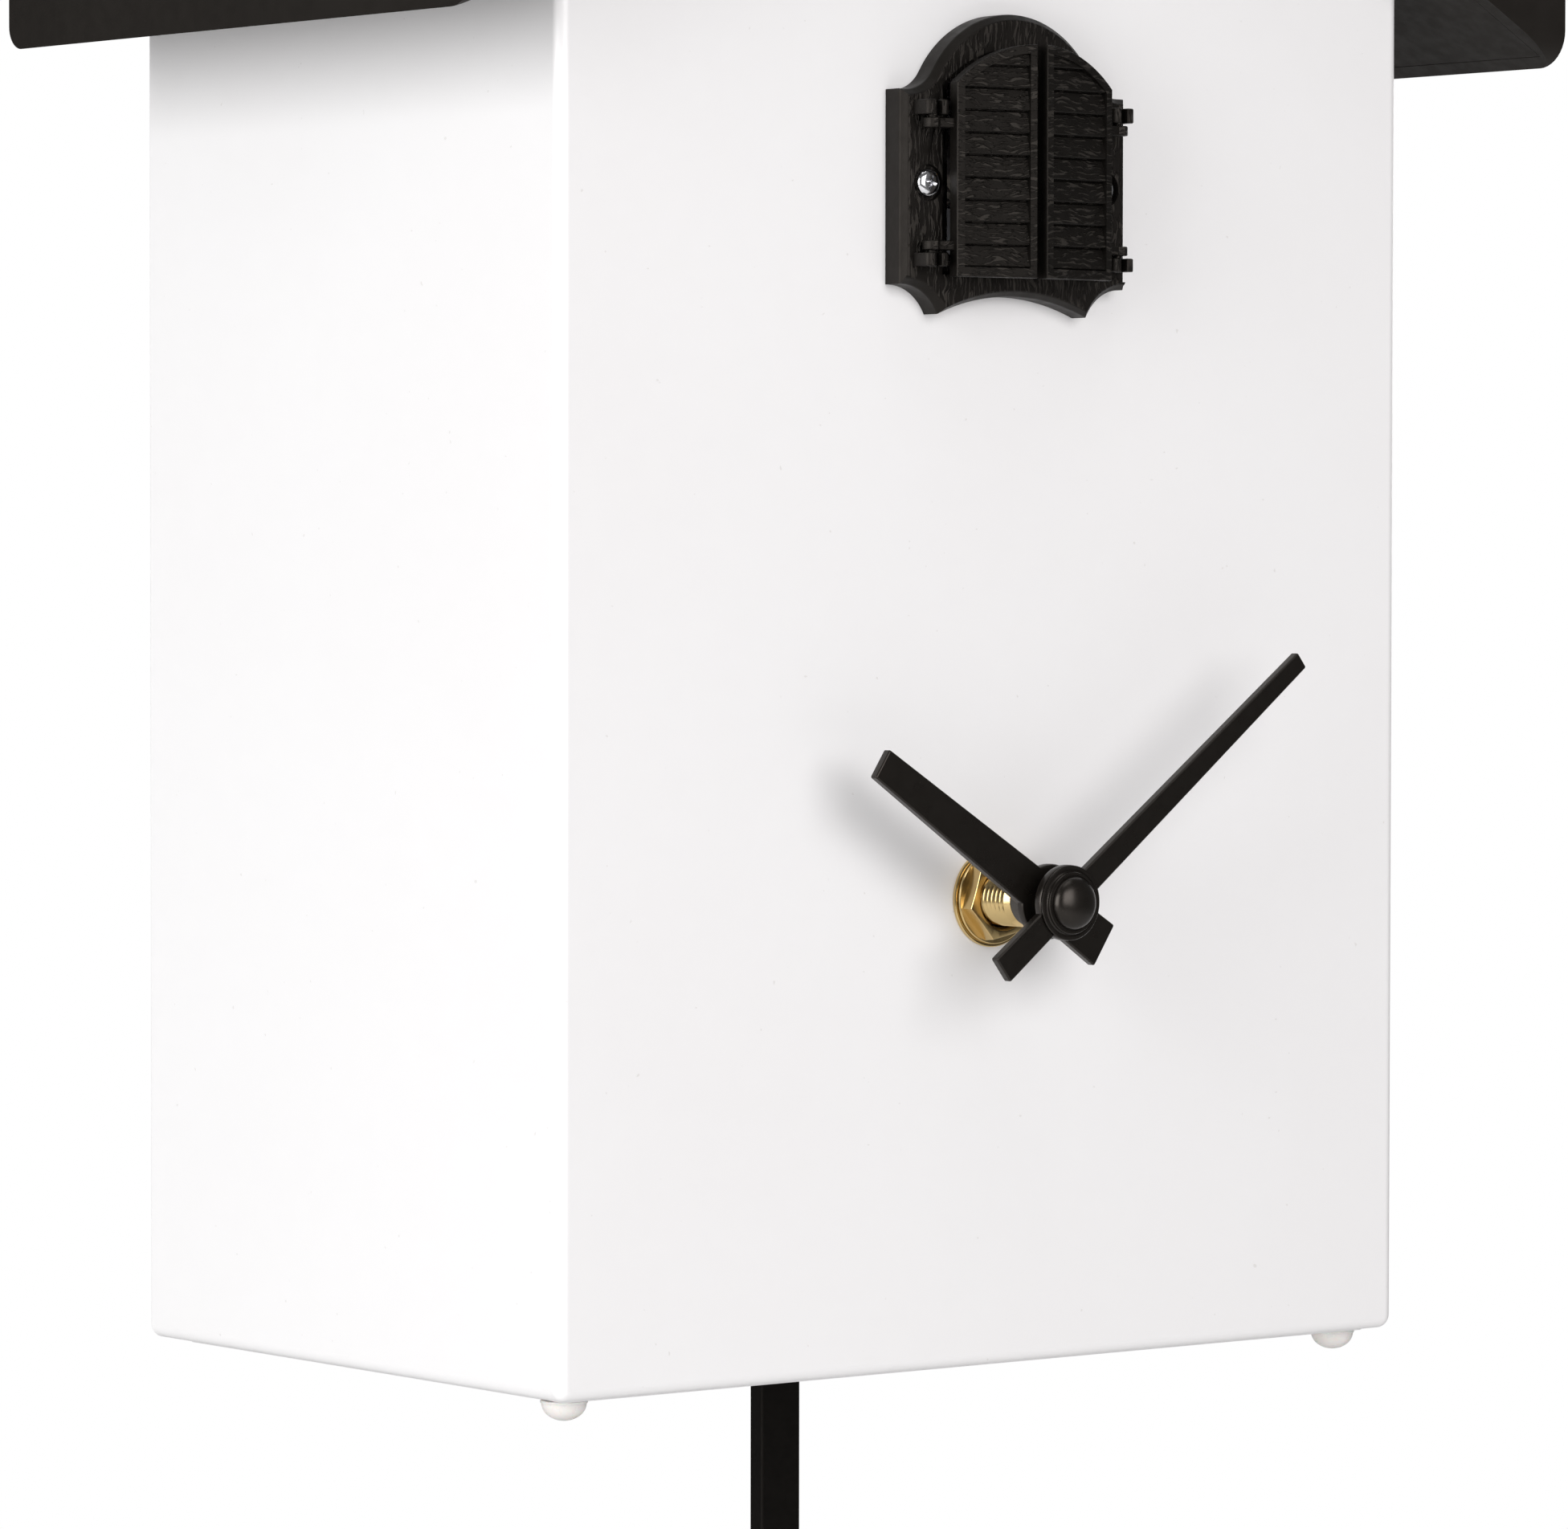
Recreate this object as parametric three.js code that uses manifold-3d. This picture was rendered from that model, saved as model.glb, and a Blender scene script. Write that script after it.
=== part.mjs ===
// A modern wall cuckoo clock: a white gabled case under a black roof, a small shuttered door that a
// bird comes out of, two hands on a threaded arbor, and a pendulum that swings through the floor.
//
// Everything is modelled in the case frame, in millimetres: +X to the right of someone facing the
// clock, +Y from the front face back towards the wall, +Z up from the bottom edge of the case.
// The exported group then moves that frame, so that its origin lies on the wall plane, straight
// behind the arbor that carries the hands.

import * as THREE from "three";
import { mergeVertices } from "three/addons/utils/BufferGeometryUtils.js";
import Module from "manifold-3d";

const wasm = await Module();
wasm.setup();

// ---------------------------------------------------------------- driving dimensions (mm)

const GAP = 0.3; // between pieces that touch
const WALL = 2.5; // wall of the case shell
const PITCH = Math.PI / 6; // slope of the roof

const CASE = { halfWidth: 77.3, depth: 102, wallPlane: 104 };
const ROOF = { halfWidth: 100, front: -12, back: 104, eave: 188.5, thick: 13, skin: 2.5, corner: 4 };
const RIDGE = ROOF.eave + ROOF.halfWidth * Math.tan(PITCH); // underside of the roof at its ridge

const ARBOR = { x: -1.2, z: 66.8 }; // axis of the hands, a little left of the middle
const BUSH = { radius: 4, bore: 2.8, front: -8.3, back: 6.2, flange: 6.5, seat: 5.7 };
const NUT = { across: 10, front: -3.2, flange: 6.9, seat: -1.5, turn: 196 };
const HOUR = {
  front: -13.5, back: -12.2, tip: 36.5, tail: 11.9, tipWidth: 4.6, tailWidth: 6.8, clock: 303.4,
};
const MINUTE = {
  front: -17.4, back: -16.1, tip: 55.4, tail: 15, tipWidth: 2.7, tailWidth: 4.2, clock: 52.5,
};
const HUB = 5.35; // radius of the hands' round centres and of the cap
const CAP = { disc: 0.35, step: 0.5, stepRadius: 4.4, domeRadius: 3.75, dome: 2 };

const PLATE = { halfWidth: 20.65, side: -3.3, face: -4.2, chamfer: 0.9 };
const ARCH = { z: 175.2, radius: 17 }; // round top of the door plate
const SHOULDER = { x: 19.5, z: 181, radius: 5.57 }; // hollow curve beside it
const HAUNCH = { x: 20.2, z: 146.4, radius: 7.25, tipX: 13.4, tipZ: 149.7 }; // hollow lower corners
const APRON = { sagitta: 2.7 }; // hollow curve between the two lower points
const DOORWAY = { halfWidth: 12, sill: 157, archZ: 167.95, archRadius: 18.4 };
const LEAF = {
  inner: 0.55, outer: 14.06, bottom: 154.7, archZ: 167.55, archRadius: 20.1, front: -7.9, back: -5.9,
};
const FIELD = { stile: 1.3, rail: 1.4, depth: 0.9, slats: 10, slatPitch: 3.15 };
const HINGE = {
  x: 17.05, y: -6.1, pin: 0.65, bore: 0.85, lug: 2, upper: [177.3, 179.4], lower: [156.1, 158],
};
const ARM = { upper: [175.5, 176.9], lower: [158.4, 159.7], radius: 1.5 };
// The right screw sits a little deeper in its counterbore than the left one.
const PLATE_SCREW = { x: 16.3, z: 167.9, leftBase: -3.75, rightBase: -3.2, head: 2, shank: 1.1 };
const AJAR = 6.7; // degrees that each door stands open at rest

const MOVEMENT = { half: 28, front: 4, split: 13, back: 23, wall: 1.6 };
const TRAIN = { centre: 12, small: 10, minuteWheel: 30, hourWheel: 40, minuteModule: 0.6, hourModule: 0.48 };

const CHASSIS = { half: 38, front: 6.3, back: 8.8, bottom: 106, top: 150, shelfHalf: 30, shelfBack: 80 };
const SHELF = { bottom: 138, top: 141 };
const GUIDE = { inner: 4.5, outer: 7.5, front: 12, back: 76, top: 163.6 };
const CARRIAGE = { half: 4.1, front: 8, back: 70, bottom: 158.6, top: 161.6 };
const RACK = { module: 0.8, teeth: 16, half: 2, front: 20, back: 69, axisY: 28 };
const BIRD = { beakTip: -3, headY: 6, headZ: 175.5, headRadius: 4.9, bodyY: 16, bodyZ: 171, tailEnd: 33 };

const SWING = { z: 126, pin: 1 }; // pendulum pivot
const ROD = { halfWidth: 3.6, front: 49.8, back: 52.8, top: 98 };
const BOB = { radius: 22, thick: 5, z: -112 };
const SLOT = { halfWidth: 18, front: 44, back: 59 }; // opening in the floor for the pendulum

const FLOOR = { half: 74.5, bottom: -0.4, top: 2 };
const FOOT = { x: 71.3, y: 7, radius: 3.3, height: 2.9 };
const COVER = { inset: 2.2, front: 102.3, lipFront: 97, lipWall: 1.6, padFront: 100.3 };
const BAY = { half: 29.5, bottom: 101, top: 150.6, front: 84, back: 101.3, wall: 1.5 };
const BATTERY_DOOR = { half: 29.6, bottom: 100.6, top: 150.5 };
const CELL = { radius: 7.1, length: 49, rows: [110.3, 125.2, 140.1], y: 93.2 };
const KEYHOLE = { head: 4.5, neck: 2.2, headZ: 215, neckZ: 224 };
const SPEAKER = { x: 42, z: 42, radius: 25, front: 85, back: 102 };
const SWITCH = { x: 34, z: 77, travel: 5 };
const CASE_SCREW = { x: 70.5, low: 9, high: 187, radius: 1.4, boss: 3.6, seat: 101.6 };

// ---------------------------------------------------------------- materials

const finish = (color, roughness, metalness = 0) =>
  new THREE.MeshStandardMaterial({ color, roughness, metalness });

const WHITE = finish(0xf2f1f2, 0.35);
const BLACK = finish(0x1b1a1a, 0.45);
const GRAINED = finish(0x1d1c1b, 0.5);
const BRASS = finish(0xc9a24c, 0.3, 1);
const STEEL = finish(0xc8cacc, 0.25, 1);
const DARK_PLASTIC = finish(0x2a2b2e, 0.55);
const GREY_PLASTIC = finish(0xb9bcc0, 0.5);
const GEAR_PLASTIC = finish(0xe8e0c8, 0.45);
const RUBBER = finish(0xe9e6e2, 0.7);
const COPPER = finish(0xb5652f, 0.4, 1);
const BOARD = finish(0x2f6b3c, 0.55);
const PAPER = finish(0x2b2926, 0.9);
const CELL_JACKET = finish(0x3a5f8a, 0.4);
const FEATHER = finish(0x7a5534, 0.7);
const BEAK = finish(0xd9a233, 0.5);

// ---------------------------------------------------------------- solids from three.js shapes

const COARSE = 8; // sides of a small round piece
const SMOOTH = 16;
const FINE = 28; // and of a large one

function solid(geometry) {
  const bare = geometry.clone();
  bare.deleteAttribute("normal");
  bare.deleteAttribute("uv");
  const merged = mergeVertices(bare, 1e-4);
  const mesh = { numProp: 3, vertProperties: merged.attributes.position.array };
  mesh.triVerts = new Uint32Array(merged.index.array);
  const made = new wasm.Manifold(new wasm.Mesh(mesh));
  if (made.volume() > 0) return made;
  mesh.triVerts.reverse(); // a profile drawn the other way round faces inwards
  return new wasm.Manifold(new wasm.Mesh(mesh));
}

function geometryOf(made) {
  const mesh = made.getMesh();
  const points = new Float32Array(mesh.numVert * 3);
  for (let i = 0; i < mesh.numVert; i++)
    points.set(mesh.vertProperties.subarray(i * mesh.numProp, i * mesh.numProp + 3), i * 3);
  const geometry = new THREE.BufferGeometry();
  geometry.setAttribute("position", new THREE.BufferAttribute(points, 3));
  geometry.setIndex(new THREE.BufferAttribute(new Uint32Array(mesh.triVerts), 1));
  geometry.computeVertexNormals();
  return geometry;
}

const join = (first, ...rest) => rest.reduce((sum, piece) => sum.add(piece), first);
const cut = (from, ...tools) => tools.reduce((left, tool) => left.subtract(tool), from);

// Extrudes an outline along one axis. The outline's own two axes are the other two, in the order
// (x, z) along Y, (y, z) along X and (x, y) along Z.
const AXES = {
  x: new THREE.Matrix4().makeBasis(
    new THREE.Vector3(0, 1, 0), new THREE.Vector3(0, 0, 1), new THREE.Vector3(1, 0, 0)),
  y: new THREE.Matrix4().makeBasis(
    new THREE.Vector3(1, 0, 0), new THREE.Vector3(0, 0, 1), new THREE.Vector3(0, -1, 0)),
  z: new THREE.Matrix4(),
};

function extrude(axis, shape, from, to, curveSegments = 5) {
  const depth = Math.abs(to - from);
  const geometry = new THREE.ExtrudeGeometry(shape, { depth, bevelEnabled: false, curveSegments });
  geometry.applyMatrix4(AXES[axis]);
  const start = axis === "y" ? Math.max(from, to) : Math.min(from, to);
  geometry.translate(axis === "x" ? start : 0, axis === "y" ? start : 0, axis === "z" ? start : 0);
  return solid(geometry);
}

function polygon(...points) {
  return new THREE.Shape(points.map(([u, v]) => new THREE.Vector2(u, v)));
}

function disc(u, v, radius) {
  const shape = new THREE.Shape();
  shape.absarc(u, v, radius, 0, Math.PI * 2);
  return shape;
}

function block(x0, x1, y0, y1, z0, z1) {
  const geometry = new THREE.BoxGeometry(x1 - x0, y1 - y0, z1 - z0);
  geometry.translate((x0 + x1) / 2, (y0 + y1) / 2, (z0 + z1) / 2);
  return solid(geometry);
}

// A cylinder along an axis: centre is the pair of the two other coordinates, in AXES order.
function rod(axis, centre, radius, from, to, sides = SMOOTH) {
  return extrude(axis, disc(...centre, radius), from, to, sides / 2);
}

// A turned piece about the Y direction through (x, z); the profile is a list of [radius, y].
function turned(profile, x, z, sides = FINE) {
  const geometry = new THREE.LatheGeometry(profile.map(([r, y]) => new THREE.Vector2(r, y)), sides);
  geometry.translate(x, 0, z);
  return solid(geometry);
}

function ellipsoid(x, y, z, rx, ry, rz) {
  const geometry = new THREE.SphereGeometry(1, 12, 7);
  geometry.scale(rx, ry, rz);
  geometry.translate(x, y, z);
  return solid(geometry);
}

// A spur gear's outline with involute flanks, thinned for backlash. `phase` turns a tooth's centre
// line to that angle, in the outline's own plane.
function gearShape({ teeth, module, addendum, dedendum = 1.15, backlash = 0.15, phase = 0 }) {
  const pressure = (20 * Math.PI) / 180;
  const pitchRadius = (module * teeth) / 2;
  const baseRadius = pitchRadius * Math.cos(pressure);
  const rootRadius = pitchRadius - dedendum * module;
  const tipRadius = pitchRadius + addendum * module;
  const involute = (angle) => Math.tan(angle) - angle;
  const halfThickness = (Math.PI * module) / 4 - backlash / 2;
  const halfAngle = (radius) => {
    const at = Math.acos(baseRadius / Math.max(radius, baseRadius));
    return halfThickness / pitchRadius + involute(pressure) - involute(at);
  };
  const radii = [rootRadius, tipRadius];
  const points = [];
  for (let i = 0; i < teeth; i++) {
    const middle = phase + (i * 2 * Math.PI) / teeth;
    for (const r of radii) points.push(polar(r, middle - halfAngle(r)));
    for (const r of [...radii].reverse()) points.push(polar(r, middle + halfAngle(r)));
  }
  return new THREE.Shape(points);
}

const polar = (radius, angle) => new THREE.Vector2(radius * Math.cos(angle), radius * Math.sin(angle));

// ---------------------------------------------------------------- the scene graph

const clock = new THREE.Group();
clock.position.set(0, -CASE.wallPlane, -ARBOR.z);

function add(name, made, material, parent = clock) {
  const mesh = new THREE.Mesh(geometryOf(made), material);
  mesh.name = name;
  parent.add(mesh);
}

// ---------------------------------------------------------------- case

// The gabled outline of the case, moved in by `inset` on every side and down to `bottom`.
function gable(inset, bottom) {
  const half = CASE.halfWidth - inset;
  const peak = RIDGE - GAP - inset / Math.cos(PITCH);
  const shoulder = peak - half * Math.tan(PITCH);
  return polygon([-half, bottom], [half, bottom], [half, shoulder], [0, peak], [-half, shoulder]);
}

// The arched doorway, grown by `margin`.
function doorway(margin = 0) {
  const half = DOORWAY.halfWidth + margin;
  const radius = DOORWAY.archRadius + margin;
  const reach = Math.asin(half / radius);
  const shape = new THREE.Shape();
  shape.moveTo(-half, DOORWAY.sill - margin);
  shape.lineTo(half, DOORWAY.sill - margin);
  shape.absarc(0, DOORWAY.archZ, radius, Math.PI / 2 - reach, Math.PI / 2 + reach);
  shape.closePath();
  return shape;
}

const caseScrews = [-1, 1].flatMap((side) =>
  [CASE_SCREW.low, CASE_SCREW.high].map((z) => ({ x: side * CASE_SCREW.x, z })));

function frontShell() {
  const walls = cut(
    extrude("y", gable(0, 0), 0, CASE.depth),
    extrude("y", gable(WALL, -1), WALL, CASE.depth + 1));
  const bosses = caseScrews.map(({ x, z }) => {
    const side = Math.sign(x);
    const pillar = rod("y", [x, z], CASE_SCREW.boss, 70, COVER.padFront - GAP, COARSE + 4);
    const web = [x, side * (CASE.halfWidth - 1)].sort((a, b) => a - b);
    return pillar.add(block(...web, 70, COVER.padFront - GAP, z - 1, z + 1));
  });
  const plateBosses = [-1, 1].map((side) =>
    rod("y", [side * PLATE_SCREW.x, PLATE_SCREW.z], 3, 1, 10, COARSE + 4));
  const chassisBosses = chassisScrews.map(({ x, z }) =>
    rod("y", [x, z], 3.2, 1, CHASSIS.front - GAP, COARSE + 4));
  return cut(
    join(walls, ...bosses, ...plateBosses, ...chassisBosses),
    extrude("y", doorway(), -1, 12),
    rod("y", [ARBOR.x, ARBOR.z], BUSH.radius + GAP, -1, WALL + 1),
    ...caseScrews.map(({ x, z }) => rod("y", [x, z], CASE_SCREW.radius, 80, CASE.depth + 1, COARSE)),
    ...[-1, 1].map((side) =>
      rod("y", [side * PLATE_SCREW.x, PLATE_SCREW.z], PLATE_SCREW.shank + 0.2, -1, 11, COARSE)),
    ...chassisScrews.map(({ x, z }) => rod("y", [x, z], 1.3, WALL, CHASSIS.front, COARSE)));
}

function floorPlate() {
  const front = WALL + GAP;
  const back = COVER.lipFront - GAP;
  return cut(
    block(-FLOOR.half, FLOOR.half, front, back, FLOOR.bottom, FLOOR.top),
    block(-SLOT.halfWidth, SLOT.halfWidth, SLOT.front, SLOT.back, -2, 4));
}

function rearCover() {
  const plate = extrude("y", gable(COVER.inset, FLOOR.bottom), COVER.front, CASE.wallPlane);
  const lip = cut(
    extrude("y", gable(WALL + GAP, FLOOR.bottom), COVER.lipFront, COVER.front + 1),
    extrude("y", gable(WALL + GAP + COVER.lipWall, 1.2), COVER.lipFront - 1, COVER.front));
  const slots = [-3, -2, -1, 0, 1, 2, 3].map((i) => {
    const half = Math.sqrt(21 ** 2 - (i * 5.5) ** 2);
    const z = SPEAKER.z + i * 5.5;
    return block(SPEAKER.x - half, SPEAKER.x + half, COVER.lipFront, 106, z - 1.2, z + 1.2);
  });
  const bay = block(-BATTERY_DOOR.half - 0.4, BATTERY_DOOR.half + 0.4, COVER.front - 1, 106,
    BATTERY_DOOR.bottom - 0.5, BATTERY_DOOR.top + 0.5);
  const neck = block(-KEYHOLE.neck, KEYHOLE.neck, 100, 106, KEYHOLE.headZ, KEYHOLE.neckZ);
  const clearance = caseScrews.map(({ x, z }) =>
    rod("y", [x, z], CASE_SCREW.boss + 3 * GAP, 90, COVER.front, COARSE + 4));
  const pads = caseScrews.map(({ x, z }) =>
    rod("y", [x, z], CASE_SCREW.boss - GAP, COVER.padFront, COVER.front + 0.1, COARSE + 4));
  return cut(
    join(cut(plate.add(lip), ...clearance), ...pads),
    bay,
    neck,
    rod("y", [0, KEYHOLE.headZ], KEYHOLE.head, 100, 106),
    rod("y", [0, KEYHOLE.neckZ], KEYHOLE.neck, 100, 106, COARSE + 4),
    block(SWITCH.x - 1.8, SWITCH.x + SWITCH.travel + 1.8, 100, 106, SWITCH.z - 1.4, SWITCH.z + 1.4),
    ...caseScrews.map(({ x, z }) => rod("y", [x, z], CASE_SCREW.radius + 0.2, 90, 106, COARSE)),
    ...caseScrews.map(({ x, z }) => rod("y", [x, z], 2.8, CASE_SCREW.seat, 106, COARSE + 4)),
    ...slots);
}

// The roof's front outline: two slopes of one thickness with upright ends.
function roofOutline(inset) {
  const half = ROOF.halfWidth - inset;
  const under = RIDGE - half * Math.tan(PITCH);
  const rise = ROOF.thick - inset;
  return polygon([-half, under], [0, RIDGE], [half, under], [half, under + rise], [0, RIDGE + rise],
    [-half, under + rise]);
}

// The roof's side outline, whose lower corners are rounded.
function roofProfile() {
  const { front, back, eave, corner } = ROOF;
  const shape = new THREE.Shape();
  shape.moveTo(back, RIDGE + 40);
  shape.lineTo(front, RIDGE + 40);
  shape.absarc(front + corner, eave + corner, corner, Math.PI, Math.PI * 1.5);
  shape.absarc(back - corner, eave + corner, corner, Math.PI * 1.5, Math.PI * 2);
  shape.closePath();
  return shape;
}

function roofCover() {
  const outer = extrude("y", roofOutline(0), ROOF.front, ROOF.back);
  const rounded = outer.intersect(extrude("x", roofProfile(), -101, 101, 6));
  const under = roofOutline(ROOF.skin);
  const hollow = extrude("y", under, ROOF.front + ROOF.skin, ROOF.back - ROOF.skin);
  const opening = hollow.translate([0, 0, -ROOF.skin / Math.cos(PITCH) - 1]);
  return cut(rounded, hollow, opening);
}

function roofLiner() {
  const half = ROOF.halfWidth - ROOF.skin - GAP;
  const under = RIDGE - half * Math.tan(PITCH) + 0.5;
  const peak = RIDGE + 0.5;
  const thick = 2;
  const panel = polygon([-half, under], [0, peak], [half, under], [half, under + thick],
    [0, peak + thick], [-half, under + thick]);
  return extrude("y", panel, ROOF.front + ROOF.skin + GAP, ROOF.back - ROOF.skin - GAP);
}

function foot(x, y) {
  const { radius, height } = FOOT;
  const profile = [[0, 0], [radius, 0], [radius * 0.94, -height * 0.42], [radius * 0.72, -height * 0.78],
    [radius * 0.4, -height * 0.96], [0, -height]];
  const geometry = new THREE.LatheGeometry(profile.map(([r, h]) => new THREE.Vector2(r, h)), SMOOTH);
  geometry.rotateX(Math.PI / 2);
  geometry.translate(x, y, FLOOR.bottom - 0.05);
  return solid(geometry);
}

// A pan-head screw along Y: its head faces `facing` (-1 forwards, 1 towards the wall).
function screw(x, z, headBase, facing, headRadius, shankRadius, length) {
  const top = headBase + facing * headRadius * 0.6;
  const shoulder = headBase + facing * headRadius * 0.25;
  const flat = headRadius * 0.65;
  const head = [[0, headBase], [headRadius, headBase], [headRadius, shoulder], [flat, top], [0, top]];
  const shank = rod("y", [x, z], shankRadius, headBase - facing * length, headBase + facing * 0.1, COARSE);
  return turned(head, x, z, COARSE + 4).add(shank);
}

const plateScrew = (side) =>
  screw(side * PLATE_SCREW.x, PLATE_SCREW.z, plateScrewBase(side), -1, PLATE_SCREW.head, PLATE_SCREW.shank, 11);

// ---------------------------------------------------------------- door plate and doors

// The door plate's outline, moved in by `inset`.
function plateOutline(inset) {
  const half = PLATE.halfWidth - inset;
  const towards = Math.atan2(SHOULDER.z + SHOULDER.radius - ARCH.z, SHOULDER.x);
  const archRadius = ARCH.radius - inset;
  const hollow = SHOULDER.radius + inset;
  const hollowZ = SHOULDER.z + SHOULDER.radius;
  const haunch = HAUNCH.radius + inset;
  const haunchEnd = Math.atan2(HAUNCH.tipZ - HAUNCH.z, HAUNCH.x - HAUNCH.tipX) + inset * 0.06;
  const tipX = HAUNCH.x - haunch * Math.cos(haunchEnd);
  const tipZ = HAUNCH.z + haunch * Math.sin(haunchEnd);
  const apronRadius = (tipX ** 2 + APRON.sagitta ** 2) / (2 * APRON.sagitta);
  const apronZ = tipZ + APRON.sagitta - apronRadius;
  const apronReach = Math.asin(tipX / apronRadius);
  const up = Math.PI / 2;
  const shape = new THREE.Shape();
  shape.moveTo(half, HAUNCH.z + haunch);
  shape.lineTo(half, SHOULDER.z - inset);
  shape.absarc(SHOULDER.x, hollowZ, hollow, -up, -Math.PI + towards, true);
  shape.absarc(0, ARCH.z, archRadius, towards, Math.PI - towards);
  shape.absarc(-SHOULDER.x, hollowZ, hollow, -towards, -up, true);
  shape.lineTo(-half, SHOULDER.z - inset);
  shape.lineTo(-half, HAUNCH.z + haunch);
  shape.absarc(-HAUNCH.x, HAUNCH.z, haunch, up, haunchEnd, true);
  shape.absarc(0, apronZ, apronRadius, up + apronReach, up - apronReach, true);
  shape.absarc(HAUNCH.x, HAUNCH.z, haunch, Math.PI - haunchEnd, up, true);
  shape.closePath();
  return shape;
}

function plateScrewBase(side) {
  return side < 0 ? PLATE_SCREW.leftBase : PLATE_SCREW.rightBase;
}

function doorPlate() {
  const steps = 2; // layers in the chamfered rim
  const layers = [extrude("y", plateOutline(0), PLATE.side, -0.05, 3)];
  for (let i = 1; i <= steps; i++) {
    const share = i / steps;
    const front = PLATE.side + (PLATE.face - PLATE.side) * share;
    layers.push(extrude("y", plateOutline(PLATE.chamfer * share), front, PLATE.side + 0.1, 3));
  }
  const lugs = [-1, 1].flatMap((side) => [HINGE.upper, HINGE.lower].map(([z0, z1]) => {
    const stem = [side * (HINGE.x - HINGE.lug), side * (HINGE.x + HINGE.lug)].sort((a, b) => a - b);
    return block(...stem, HINGE.y, PLATE.face + 0.2, z0, z1)
      .add(rod("z", [side * HINGE.x, HINGE.y], HINGE.lug, z0, z1, COARSE + 4))
      .subtract(rod("z", [side * HINGE.x, HINGE.y], HINGE.bore, z0 - 1, z1 + 1, COARSE));
  }));
  return cut(
    join(...layers, ...lugs),
    extrude("y", doorway(), -6, 1),
    ...[-1, 1].map((side) =>
      rod("y", [side * PLATE_SCREW.x, PLATE_SCREW.z], PLATE_SCREW.shank + 0.2, -6, 1, COARSE)),
    ...[-1, 1].map((side) => {
      const floor = plateScrewBase(side) + 0.1;
      return rod("y", [side * PLATE_SCREW.x, PLATE_SCREW.z], PLATE_SCREW.head + 0.6, -6, floor, COARSE + 4);
    }));
}

// One shutter, closed, on the side `side` (-1 left, 1 right): a framed leaf with sloping slats, two
// arms and the pins that turn in the plate's lugs.
function doorLeaf(side) {
  const outline = (inset) => {
    const inner = LEAF.inner + inset;
    const outer = LEAF.outer - inset;
    const radius = LEAF.archRadius - inset;
    const shape = new THREE.Shape();
    shape.moveTo(inner, LEAF.bottom + inset * (FIELD.rail / FIELD.stile));
    shape.lineTo(outer, LEAF.bottom + inset * (FIELD.rail / FIELD.stile));
    shape.absarc(0, LEAF.archZ, radius, Math.acos(outer / radius), Math.acos(inner / radius));
    shape.closePath();
    return shape;
  };
  const frame = cut(
    extrude("y", outline(0), LEAF.front, LEAF.back),
    extrude("y", outline(FIELD.stile), LEAF.front - 1, LEAF.front + FIELD.depth));
  const opening = extrude("y", outline(FIELD.stile - 0.05), LEAF.front - 1, LEAF.back - 0.2);
  const slats = [];
  for (let i = 0; i < FIELD.slats; i++) {
    const foot = LEAF.bottom + FIELD.rail + i * FIELD.slatPitch;
    const wedge = polygon([LEAF.front + 0.15, foot + 0.25], [LEAF.back - 0.5, foot + 0.25],
      [LEAF.back - 0.5, foot + FIELD.slatPitch], [LEAF.front + FIELD.depth - 0.1, foot + FIELD.slatPitch]);
    slats.push(extrude("x", wedge, 0, LEAF.outer));
  }
  const arms = [ARM.upper, ARM.lower].map(([z0, z1]) =>
    block(LEAF.outer - 1, HINGE.x, HINGE.y - 0.9, HINGE.y + 0.9, z0, z1)
      .add(rod("z", [HINGE.x, HINGE.y], ARM.radius, z0, z1, COARSE + 4)));
  const pins = [
    rod("z", [HINGE.x, HINGE.y], HINGE.pin, ARM.upper[1] - 0.1, HINGE.upper[1], COARSE),
    rod("z", [HINGE.x, HINGE.y], HINGE.pin, HINGE.lower[0], ARM.lower[0] + 0.1, COARSE)];
  const leaf = join(frame, join(...slats).intersect(opening), ...arms, ...pins);
  return side > 0 ? leaf : leaf.mirror([1, 0, 0]);
}

// Stands a door ajar: a group on the hinge line, turned, that holds the leaf.
function addDoor(name, side) {
  const hinge = new THREE.Group();
  hinge.position.set(side * HINGE.x, HINGE.y, 0);
  hinge.rotation.z = (side * AJAR * Math.PI) / 180;
  clock.add(hinge);
  add(name, doorLeaf(side).translate([-side * HINGE.x, -HINGE.y, 0]), BLACK, hinge);
}

// ---------------------------------------------------------------- hands

// A hand pointing at 12 o'clock, round a centre hole of radius `hole`.
function hand({ front, back, tip, tail, tipWidth, tailWidth }, hole) {
  const bar = polygon([-tailWidth / 2, -tail], [tailWidth / 2, -tail], [tipWidth / 2, tip],
    [-tipWidth / 2, tip]);
  return cut(
    extrude("y", bar, front, back).add(rod("y", [0, 0], HUB, front, back, FINE)),
    rod("y", [0, 0], hole, front - 1, back + 6, COARSE + 4));
}

function addHand(name, made, clockAngle) {
  const spindle = new THREE.Group();
  spindle.position.set(ARBOR.x, 0, ARBOR.z);
  spindle.rotation.y = (clockAngle * Math.PI) / 180;
  clock.add(spindle);
  add(name, made, BLACK, spindle);
}

const PIPE = { outer: 2.4, inner: 1.5 }; // the hour wheel's pipe
const SPINDLE = { radius: 0.9, front: -18.9, back: 20.6 };

function hourHand() {
  const collet = cut(
    rod("y", [0, 0], 3.6, HOUR.back - 0.1, BUSH.front - GAP),
    rod("y", [0, 0], PIPE.outer + 0.1, HOUR.back - 1, BUSH.front, COARSE + 4));
  return hand(HOUR, PIPE.outer + 0.1).add(collet);
}

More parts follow.
